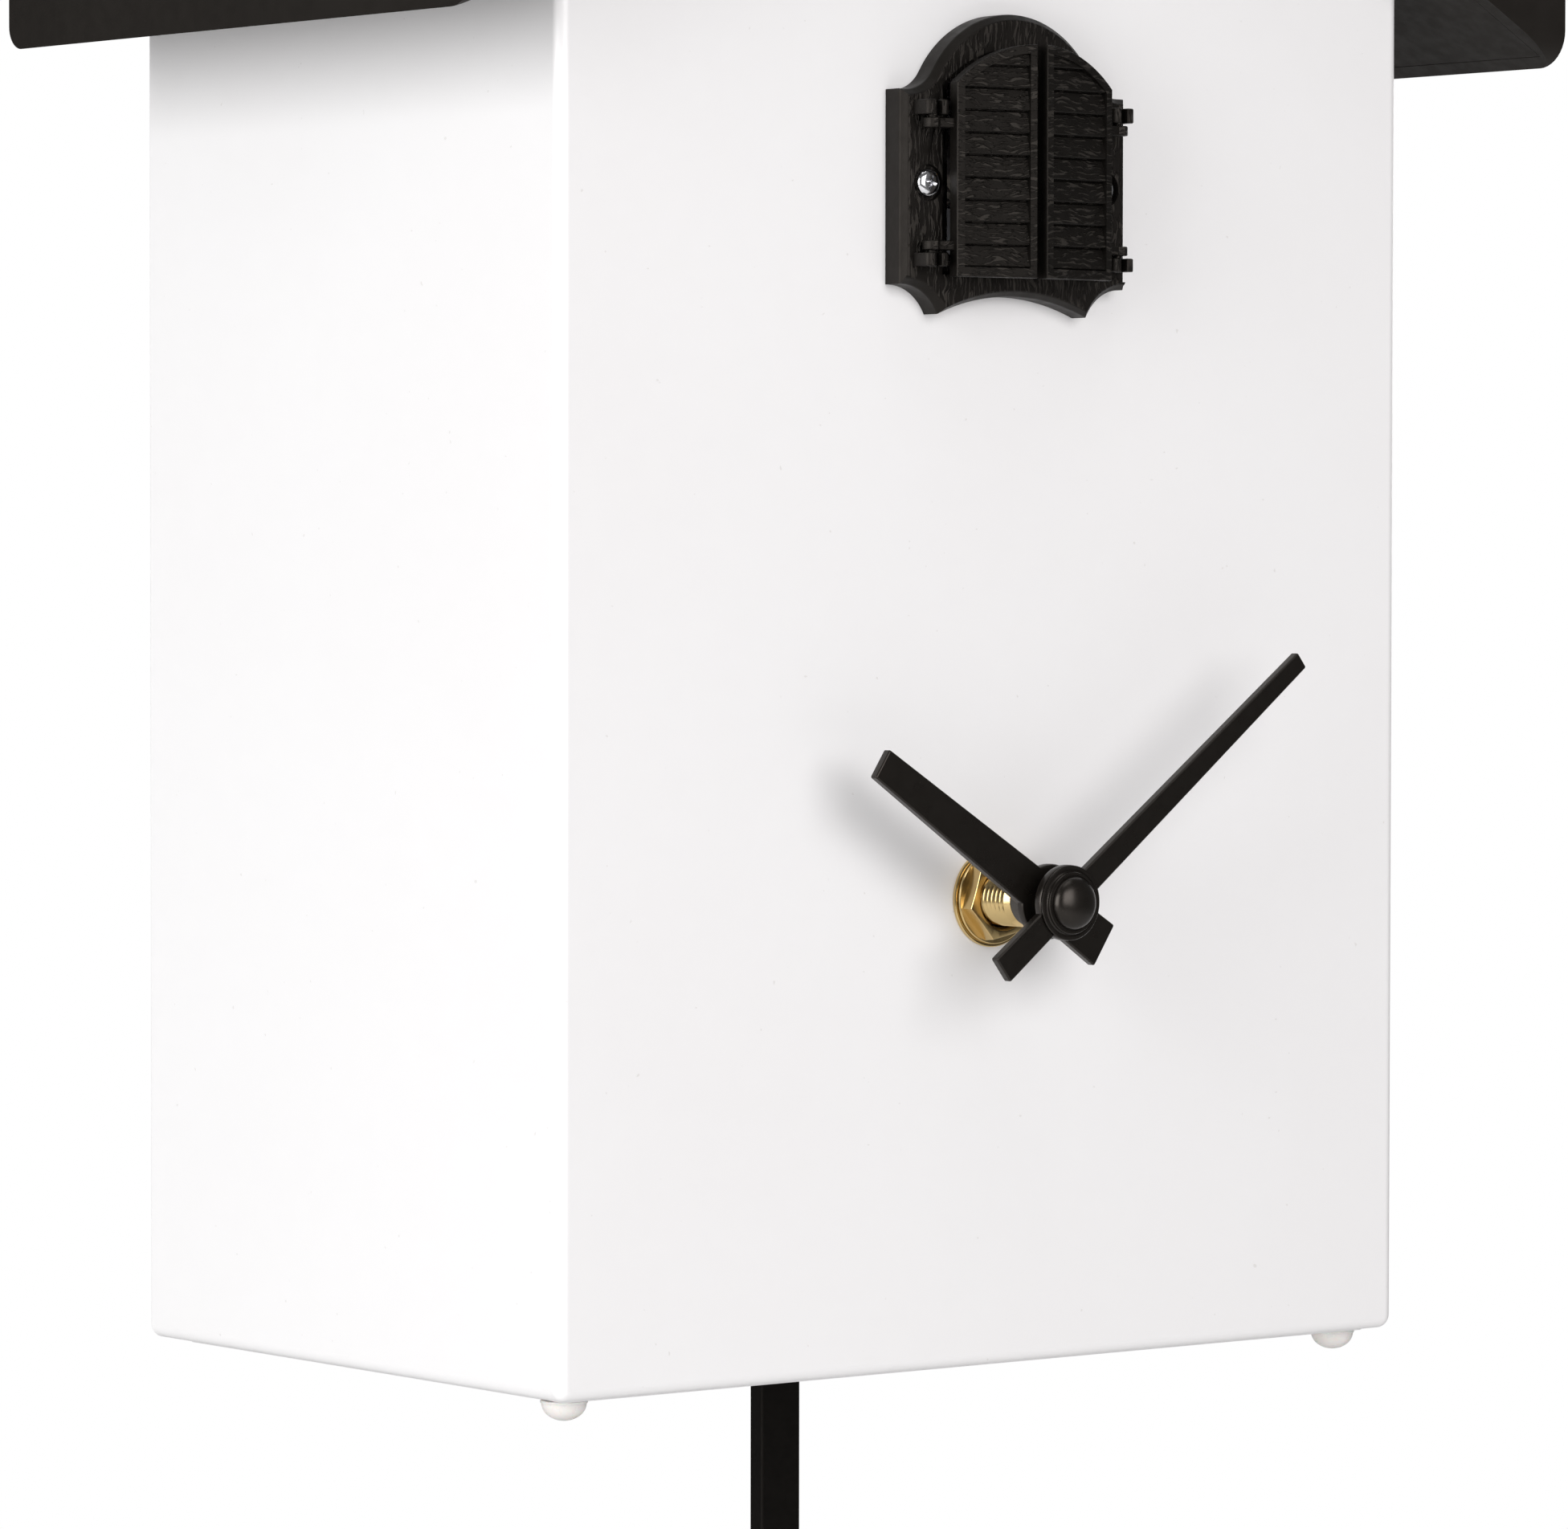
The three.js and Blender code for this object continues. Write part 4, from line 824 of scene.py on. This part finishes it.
def lug(side, z0, z1):
    """A hinge lug: a base and two round-nosed jaws, with a slit between them that the pin snaps into."""
    nose, root = HINGE_Y - 1.65, PLATE_FACE + 0.4
    shapes = []
    for end in (-1, 1):
        x0, x1 = sorted((side * HINGE_X + end * 0.55, side * HINGE_X + end * 2.0))
        radii = [0.3, 0.85, 0, 0] if end > 0 else [0.85, 0.3, 0, 0]
        shapes.append(prism(rounded(rectangle(x0, x1, nose, root), radii, 8), z0, z1, 0.18, 0.18, "z", 3))
    return [*shapes, bar(side * HINGE_X - 2.0, side * HINGE_X + 2.0, HINGE_Y + 1.0, root, z0, z1)]


def door_plate():
    """The plate round the doors: a rounded rim, a recess for the shutters, screw seats and hinge lugs."""
    rim = [(0, -0.05), (0, -2.9), (0.05, -3.12), (0.18, -3.28), (0.62, -3.78), (0.78, -4.02), (0.92, -4.14),
           (1.12, PLATE_FACE)]
    plate = solid("door_surround", loft([(plate_outline(margin), y) for margin, y in rim]))
    cut(plate, prism(both_leaves(0.35), -6, -3.1))
    cut(plate, prism(doorway(), -6, 1))
    for side in (-1, 1):
        seat = SCREW_BASES[side] + 0.1
        sink = [(0, -6), (2.85, -6), (2.55, -3.95), (2.5, seat), (0, seat)]
        cut(plate, lathe(sink, (side * SCREW_X, SCREW_Z)))
        cut(plate, prism(circle(side * SCREW_X, SCREW_Z, 1.3), -6, 1))
        for z0, z1 in HINGES:
            fuse(plate, *lug(side, z0, z1))
            cut(plate, prism(circle(side * HINGE_X, HINGE_Y, 0.8, 24), z0 - 1, z1 + 1, axis="z"))
    finish(plate, GRAIN_AND_PAINTED_HIGHLIGHT_UP, "case", "door_plate", 40)


def slats(field):
    """Ten sloping slats, each with a notch under the next, trimmed to the leaf's opening."""
    pitch, root = 3.15, LEAF_BACK - 0.3
    made = []
    for i in range(10):
        low = LEAF_BOTTOM + 1.4 + i * pitch
        high = low + pitch
        section = [(LEAF_FRONT + 0.12, low + 0.24), (LEAF_FRONT + 0.24, low + 0.1), (root, low + 0.1),
                   (root, high + 0.05), (LEAF_FRONT + 1.3, high + 0.05), (LEAF_FRONT + 0.88, high - 0.2)]
        made.append(prism(counter_clockwise(section), 0.2, 14.5, axis="x"))
    blinds = solid("blinds", together(*made))
    common(blinds, prism(leaf_outline(field - 0.06), LEAF_FRONT - 1, LEAF_BACK - 0.2))
    return as_shape(blinds)


def hinge_arms():
    """The two arms that a shutter hangs on, each with a pin that reaches into its lug."""
    made = []
    root = 13.2
    for z0, z1 in ARMS:
        strap = [(root, HINGE_Y - 0.95), (HINGE_X - 0.7, HINGE_Y - 0.95),
                 *arc(HINGE_X, HINGE_Y, 1.45, -90, 90), (HINGE_X - 0.6, HINGE_Y + 0.85),
                 (root, HINGE_Y + 0.85)]
        made.append(prism(counter_clockwise(strap), z0, z1, 0.15, 0.15, "z", 3))
        upper = z0 > SCREW_Z
        pin = (z1 - 0.2, HINGES[0][1] + 0.1) if upper else (HINGES[1][0] - 0.1, z0 + 0.2)
        made.append(prism(circle(HINGE_X, HINGE_Y, 0.65, 24), *pin, 0.15, 0.15, "z", 3))
    return together(*made)


def shutter(side):
    """A louvred leaf: a frame, its slats and its hinge arms, drawn on the right and set ajar."""
    field = 1.25
    leaf = solid("leaf", prism(leaf_outline(0), LEAF_FRONT, LEAF_BACK, 0.22, 0.1, steps=3))
    cut(leaf, prism(leaf_outline(field), LEAF_FRONT - 1, LEAF_FRONT + 1.15))
    whole = together(as_shape(leaf), slats(field), hinge_arms())
    whole = whole if side > 0 else mirrored(whole)
    whole = turned(whole, side * AJAR, (side * HINGE_X, HINGE_Y, 0), "z")
    name = "left" if side < 0 else "right"
    piece(f"shutter_{name}", whole, GRAIN_AND_PAINTED_HIGHLIGHT_ACROSS, f"{name}_door", f"door_{name}", 30)


# ---- hands and arbor

def hand(name, front, tip, tail, tip_width, tail_width, angle, body, node, *more):
    """A tapered bar with bevelled edges and a round hub, turned to the time it shows."""
    back = front + 1.3
    corners = [(-tail_width / 2, -tail), (tail_width / 2, -tail), (tip_width / 2, tip), (-tip_width / 2, tip)]
    outline = [(u + ARBOR_X, v + ARBOR_Z) for u, v in rounded(corners, 0.3, 4)]
    blade = prism(outline, front, back, 0.28, 0.12, steps=3)
    hub = [(0, front - 0.03), (4.9, front - 0.03), (5.2, front + 0.06), (5.35, front + 0.3),
           (5.35, back - 0.2), (5.2, back), (0, back)]
    blade = turned(blade, angle, (ARBOR_X, 0, ARBOR_Z))
    piece(name, together(blade, lathe(hub, ARBOR), *more), ENAMEL, body, node, 38)


def hands():
    front, back = HOUR_FRONT + 1.2, cad("hour_hand")[1].y
    stub = lathe([(0, front), (3.3, front), (3.3, back), (0, back)], ARBOR)
    hand("hour_pointer", HOUR_FRONT, 36.5, 11.9, 4.6, 6.8, HOUR_ANGLE, "hour", "hour_hand", stub)
    hand("minute_pointer", MINUTE_FRONT, 55.4, 15, 2.7, 4.2, MINUTE_ANGLE, "minute", "minute_hand")
    ring = [(3.2, front), (3.9, front), (4.0, front + 0.15), (4.0, front + 1.1), (3.6, front + 1.35),
            (3.6, back - 0.15), (3.45, back), (3.2, back)]
    collar = solid("hour_collar", tube(ring, ARBOR))
    cut(collar, bar(ARBOR_X - 6, ARBOR_X + 6, front - 1, front + 1.12, ARBOR_Z - 6, ARBOR_Z - 3.35))
    dress(collar, COLLET, "hour", 35)


def hand_cap():
    """The minute hand's cap: a grooved disc with a dome."""
    base = MINUTE_FRONT - 0.1
    disc = base - 0.35
    step = disc - 0.5
    dome = [(3.72 * u, step - 0.1 - 1.9 * v) for u, v in arc(0, 0, 1, 0, 84, 14)]
    profile = [(0, base), (5.1, base), (5.25, base - 0.04), (5.3, disc + 0.12), (5.2, disc + 0.02),
               (5.05, disc), (4.75, disc), (4.68, disc + 0.08), (4.6, disc + 0.08), (4.5, disc),
               (4.42, disc - 0.12), (4.4, step + 0.12), (4.3, step), (3.95, step), (3.88, step + 0.1),
               (3.75, step + 0.1), *dome, (0, step - 2)]
    cap = lathe(profile, ARBOR, sides=96)
    piece("domed_cap", cap, ENAMEL, "minute", "hand_cap", 28)


def ring_shape(rings, angles, quad):
    """Rings about the arbor, each one (radius, y) for all angles or a list of them, joined by a rule."""
    rings = [[ring] * len(angles) if isinstance(ring, tuple) else ring for ring in rings]
    points = [(ARBOR_X + r * cos(a), y, ARBOR_Z + r * sin(a))
              for ring in rings for (r, y), a in zip(ring, angles)]
    faces = [quad(k, i) for k in range(len(rings)) for i in range(len(angles))]
    return np.array(points), faces


def nut():
    """A flanged hexagon nut, as rings of points that all share their angles."""
    low, high = cad("fixing_nut")
    front, back = low.y, high.y
    flat, turn, per_side, slope = 5.25, 192, 14, 0.14
    bore, face, flange = 4.1, 4.85, 6.55
    angles, reach = [], []
    for side in range(6):
        for k in range(per_side):
            off = radians(-30 + 60 * k / per_side)
            angles.append(radians(turn + 30 + 60 * side) + off)
            reach.append(flat / cos(off))
    count = len(angles)

    def chamfer_at(depth, flare=1.0):
        return [(r * flare, front + depth + (r - face) * slope) for r in reach]

    rings = [(bore, back), (bore, front + 0.75), (4.15, front + 0.55), (4.5, front + 0.03), (4.56, front),
             (face, front), chamfer_at(0.02), chamfer_at(0.1, 1.008),
             [(r * 1.03, back - 0.4) for r in reach], (flange - 0.13, back - 0.37),
             (flange - 0.04, back - 0.31), (flange, back - 0.2), (flange, back - 0.06),
             (flange - 0.05, back)]

    def quad(k, i):
        after, j = (k + 1) % len(rings), (i + 1) % count
        return k * count + i, k * count + j, after * count + j, after * count + i

    piece("flange_nut", ring_shape(rings, angles, quad), BRASS, "case", "fixing_nut", 24)


def washer(name, outer, inner, y0, y1, look, node):
    r = 0.12
    profile = [(inner, y0), (outer - r, y0), (outer, y0 + r), (outer, y1 - r), (outer - r, y1), (inner, y1)]
    piece(name, tube(profile, ARBOR), look, "case", node, 40)


def bush():
    """The threaded bush: a helical thread outside, a plain bore inside, a flange behind."""
    low, high = cad("threaded_bush")
    front, back = low.y, high.y
    radius, bore, flange = 3.85, 2.8, 6.5
    depth, pitch, sides, steps = 0.45, 0.9, 60, 4
    groove = (0.0, 0.35, 1.0, 0.35)  # depth of the thread over one pitch
    start, end = front + 0.35, 5.3

    rings = [(bore, back), (bore, front + 0.1), (bore + 0.12, front), (radius - depth - 0.1, front)]
    first = len(rings)
    last = first + int((end - start) / pitch) * steps
    for k in range(last - first + 1):
        rings.append([(radius - depth * groove[k % steps], min(start + (k / steps + i / sides) * pitch, end))
                      for i in range(sides)])
    rings += [(radius, 5.6), (flange - 0.1, 5.72), (flange, 5.8), (flange, back - 0.1),
              (flange - 0.1, back)]

    def quad(k, i):
        """Where a turn of the thread closes, its rings join those one pitch further on."""
        after, j = (k + 1) % len(rings), (i + 1) % sides
        right, up_right = k, after
        if j == 0 and first <= k <= last:
            right = min(k + steps, last)
        if j == 0 and first <= after <= last:
            up_right = min(after + steps, last)
        return k * sides + i, right * sides + j, up_right * sides + j, after * sides + i

    points, faces = ring_shape(rings, [2 * pi * i / sides for i in range(sides)], quad)
    faces = [f for f in faces if len(set(f)) == 4]
    piece("threaded_tube", (points, faces), BRASS, "case", "threaded_bush", 20)


# ---- pendulum, bird and the rest

def pendulum():
    """A flat rod on its pivot pin, and a flat disc with a raised rim."""
    low, high = cad("pendulum_rod")
    outline = rounded(rectangle(low.x, high.x, low.y, high.y), 0.35, 4)
    rod = solid("pendulum_bar", prism(outline, low.z, high.z, 0.3, 0.3, "z", 3))
    cut(rod, prism(circle(0, 92, 1.55, 32), 40, 60))
    finish(rod, ROD_BLACK, "pendulum", "pendulum_rod")

    low, high = cad("pendulum_bob")
    centre = middle("pendulum_bob")
    radius, half, curve = (high.x - low.x) / 2, (high.y - low.y) / 2, 1.2
    side = arc(radius - curve, half - curve, curve, 0, 90, 6)
    side += [(radius - 2.4, half - 0.02), (radius - 2.8, half - 0.3), (radius * 0.5, half - 0.18),
             (0, half - 0.1)]
    profile = [(r, centre.y - d) for r, d in reversed(side)] + [(r, centre.y + d) for r, d in side]
    disc = lathe(profile, (0, centre.z), sides=128)
    piece("pendulum_disc", disc, ROD_BLACK, "pendulum", "pendulum_bob", 30)


def ball(x, y, z, rx, ry, rz, rows=14, sides=28):
    profile = [(sin(pi * k / rows), -cos(pi * k / rows)) for k in range(rows + 1)]
    profile[0], profile[-1] = (0, -1), (0, 1)
    points, faces = lathe(profile, (0, 0), "y", sides)
    return points * np.array([rx, ry, rz]) + np.array([x, y, z]), faces


def bird():
    """A small bird: one smooth body, two wings, a tail, two eyes and a beak."""
    breast, head = ball(0, 16, 171, 5.6, 10.2, 5.4), ball(0, 6.2, 175.3, 4.5, 4.7, 4.5)
    neck = ball(0, 10, 173.2, 4.7, 5.5, 4.9)
    body = solid("bird", together(breast, head, neck))
    skin = body.modifiers.new("one skin", "REMESH")
    skin.mode = "VOXEL"
    skin.voxel_size = 0.42 * MM
    smooth = body.modifiers.new("smooth", "SMOOTH")
    smooth.iterations = 14
    smooth.factor = 0.5
    settle(body)
    cut(body, bar(-3, 3, 11, 23, 160, 165.6))
    finish(body, PLUMAGE, "bird", "bird_body", 60)

    for side, name in ((-1, "left"), (1, "right")):
        wing = []
        for t in np.linspace(0, 1, 13):
            tall = 4.1 * sin(pi * min(1, (0.12 + 0.88 * t) ** 0.62)) + 0.25
            x = side * (4.9 + 1.1 * sin(pi * t) - 1.6 * t * t)
            wing.append((oval(x, 171.9 + 1.8 * t, side * 0.75 * (1 - 0.5 * t), tall), 9.5 + 17.5 * t))
        extra(f"wing_{name}", loft(wing), PLUMAGE, "bird", 60)
        eye = ball(side * 3.55, 4.0, 176.6, 0.75, 0.75, 0.75, 10, 16)
        extra(f"eye_{name}", eye, EYE, "bird", 60)

    steps = np.linspace(0, 1, 7)
    tail = [(oval(0, 172.4 + 4.8 * t, 1.6 + 1.3 * t, 0.8 - 0.3 * t), 23.5 + 9.3 * t) for t in steps]
    extra("tail", loft(tail), PLUMAGE, "bird", 60)
    beak = []
    for t in steps:
        size = 1.5 * (1 - t) ** 0.8 + 0.06
        beak.append((oval(0, 175.1 - 0.7 * t * t, size, size * 0.75), 2.1 - 5.0 * t))
    piece("beak", loft(beak), BEAK, "bird", "bird_beak", 60)


def batteries():
    """Three round cells lying across the case, each with a button at its positive end."""
    for i in (1, 2, 3):
        node = f"battery_{i}"
        low, high = cad(node)
        radius, shoulder = (high.z - low.z) / 2, high.x - 1.2
        profile = [(0, low.x), (radius - 1.4, low.x), (radius - 1.3, low.x + 0.2),
                   (radius - 0.5, low.x + 0.2), (radius, low.x + 0.7), (radius, shoulder - 0.7),
                   (radius - 0.5, shoulder), (radius - 1.2, shoulder), (radius - 1.3, shoulder - 0.25),
                   (3.0, shoulder - 0.25), (2.7, shoulder), (2.7, high.x - 0.3), (2.4, high.x), (0, high.x)]
        cell = lathe(profile, middle(node).yz, "x", 48)
        piece(f"cell_{i}", cell, SLEEVE, "case", node, 30)


def battery_door():
    """The battery cover: a plate with a fan of grip grooves outside and a rib inside."""
    low, high = cad("battery_door")
    front, back = WALL_PLANE - COVER, WALL_PLANE - 0.1
    outline = rounded(rectangle(low.x, high.x, low.z, high.z), 1.0)
    door = solid("battery_hatch", prism(outline, back, front, 0.35, 0.15))
    for i in range(6):
        groove = stadium(0, low.z + 4 + i * 1.7, 8 - i * 0.9, 0.4, 5)
        cut(door, prism(groove, back - 0.55, 107))
    fuse(door, bar(low.x + 3, high.x - 3, front - 0.6, front + 0.1, low.z + 4, low.z + 5.2, 0.15))
    finish(door, WHITE, "battery_cover", "battery_door")


def carried_over():
    """CAD nodes whose own shape shows: softened edges and a real material."""
    looks = (
        (BRASS, "minute_arbor"),
        (STEEL, "chassis_screw_1 chassis_screw_2 bird_motor pivot_pin pendulum_magnet contact_positive "
                "contact_springs speaker_frame speaker_magnet"),
        (DARK, "movement_front movement_back chassis battery_box switch_body"),
        (GREY, "bird_guide carriage pendulum_bracket pendulum_hanger"),
        (ACETAL, "hour_wheel intermediate_wheel drive_pinion"),
        (COPPER, "step_motor pendulum_coil"),
        (BOARD, "sound_board"),
        (PAPER, "speaker_cone"),
        (SWITCH_BLACK, "switch_slider"),
        (RUBBER, "rubber_washer"),
    )
    for look, names in looks:
        for name in names.split():
            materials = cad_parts[name].data.materials
            materials.clear()
            materials.append(look)
    for name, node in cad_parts.items():
        if node.hide_render or name in ("hour_wheel", "intermediate_wheel"):
            continue
        soften(node, 0.15, 1, 50)


front_shell()
rear_cover()
floor_plate()
roof()
roof_liner()
feet()
for number, x, z in case_screw_places():
    turn = 17 * number
    pan_screw(f"cover_screw_{number}", x, z, 101.65, 1, 2.4, STEEL, f"case_screw_{number}", turn)
door_plate()
shutter(-1)
shutter(1)
for side, name, turn in ((-1, "left", 20), (1, "right", 52)):
    pan_screw(f"door_screw_{name}", side * SCREW_X, SCREW_Z, SCREW_BASES[side], -1, SCREW_HEAD, CHROME,
              f"plate_screw_{name}", turn)
hands()
hand_cap()
nut()
washer("brass_ring", 7.0, 4.1, -0.65, -0.05, BRASS, "brass_washer")
bush()
pendulum()
bird()
batteries()
battery_door()
carried_over()


# ---- stage, light and camera

def stage_floor():
    """A pale square well below the pendulum."""
    mesh = bpy.data.meshes.new("floor")
    half, height = 1.0, -0.31
    mesh.from_pydata([(x, y, height) for x, y in rectangle(-half, half, -half, half)], [], [(0, 1, 2, 3)])
    look = Look("pale floor", (0.9, 0.9, 0.9), 0.8)
    look.tint(look.noise(0.004), (0.88, 0.88, 0.88))
    mesh.materials.append(look.material)
    new_object("floor", mesh)


def softbox(name, target, azimuth, elevation, distance, size, power, colour=(1, 1, 1)):
    """A square area light aimed at a point, placed by azimuth (0 in front, 90 on the right) and elevation."""
    data = bpy.data.lights.new(name, "AREA")
    data.shape = "SQUARE"
    data.size = size
    data.energy = power
    data.color = colour
    light = new_object(name, data)
    a, e = radians(azimuth), radians(elevation)
    way = Vector((sin(a) * cos(e), -cos(a) * cos(e), sin(e)))
    light.location = Vector(target) + way * distance
    light.rotation_mode = "QUATERNION"
    light.rotation_quaternion = (-way).to_track_quat("-Z", "Y")


def sky(fill_strength):
    """A white backdrop to the camera, and an even dim light to everything else."""
    world = bpy.data.worlds.new("studio")
    bpy.context.scene.world = world
    world.use_nodes = True
    nodes, links = world.node_tree.nodes, world.node_tree.links
    backdrop, fill = nodes["Background"], nodes.new("ShaderNodeBackground")
    for node, strength in ((backdrop, 1.0), (fill, fill_strength)):
        node.inputs["Color"].default_value = (1, 1, 1, 1)
        node.inputs["Strength"].default_value = strength
    path = nodes.new("ShaderNodeLightPath")
    mix = nodes.new("ShaderNodeMixShader")
    links.new(path.outputs["Is Camera Ray"], mix.inputs[0])
    links.new(fill.outputs[0], mix.inputs[1])
    links.new(backdrop.outputs[0], mix.inputs[2])
    links.new(mix.outputs[0], nodes["World Output"].inputs["Surface"])


def camera():
    """A long lens from the front left, a little above the hands."""
    data = bpy.data.cameras.new("camera")
    data.sensor_width = 36
    data.lens = 162.93
    data.clip_start, data.clip_end = 0.05, 50
    eye = new_object("camera", data)
    position = Vector(place([(-646.2, -778.0, 119.1)])[0])
    yaw, pitch, roll = radians(37.992), radians(-1.89), radians(0.079)
    turn = Matrix.Rotation(-yaw, 4, "Z") @ Matrix.Rotation(pi / 2 + pitch, 4, "X")
    eye.matrix_world = Matrix.Translation(position) @ turn @ Matrix.Rotation(roll, 4, "Z")
    bpy.context.scene.camera = eye


stage_floor()
softbox("front soft light", (0, -0.1, 0.13), -7, 10, 1.0, 0.72, 7.25, (1, 0.985, 0.985))
softbox("left soft light", (0, -0.05, 0.05), -82, 9, 1.5, 1.1, 19.8)
softbox("top soft light", (0, -0.05, 0.05), -15, 78, 1.4, 0.8, 3.0)
softbox("right rear strip", (0, -0.05, 0.05), 112, 10, 1.3, 0.5, 2.0)
sky(0.13)
camera()
bpy.context.scene.view_settings.view_transform = "Standard"
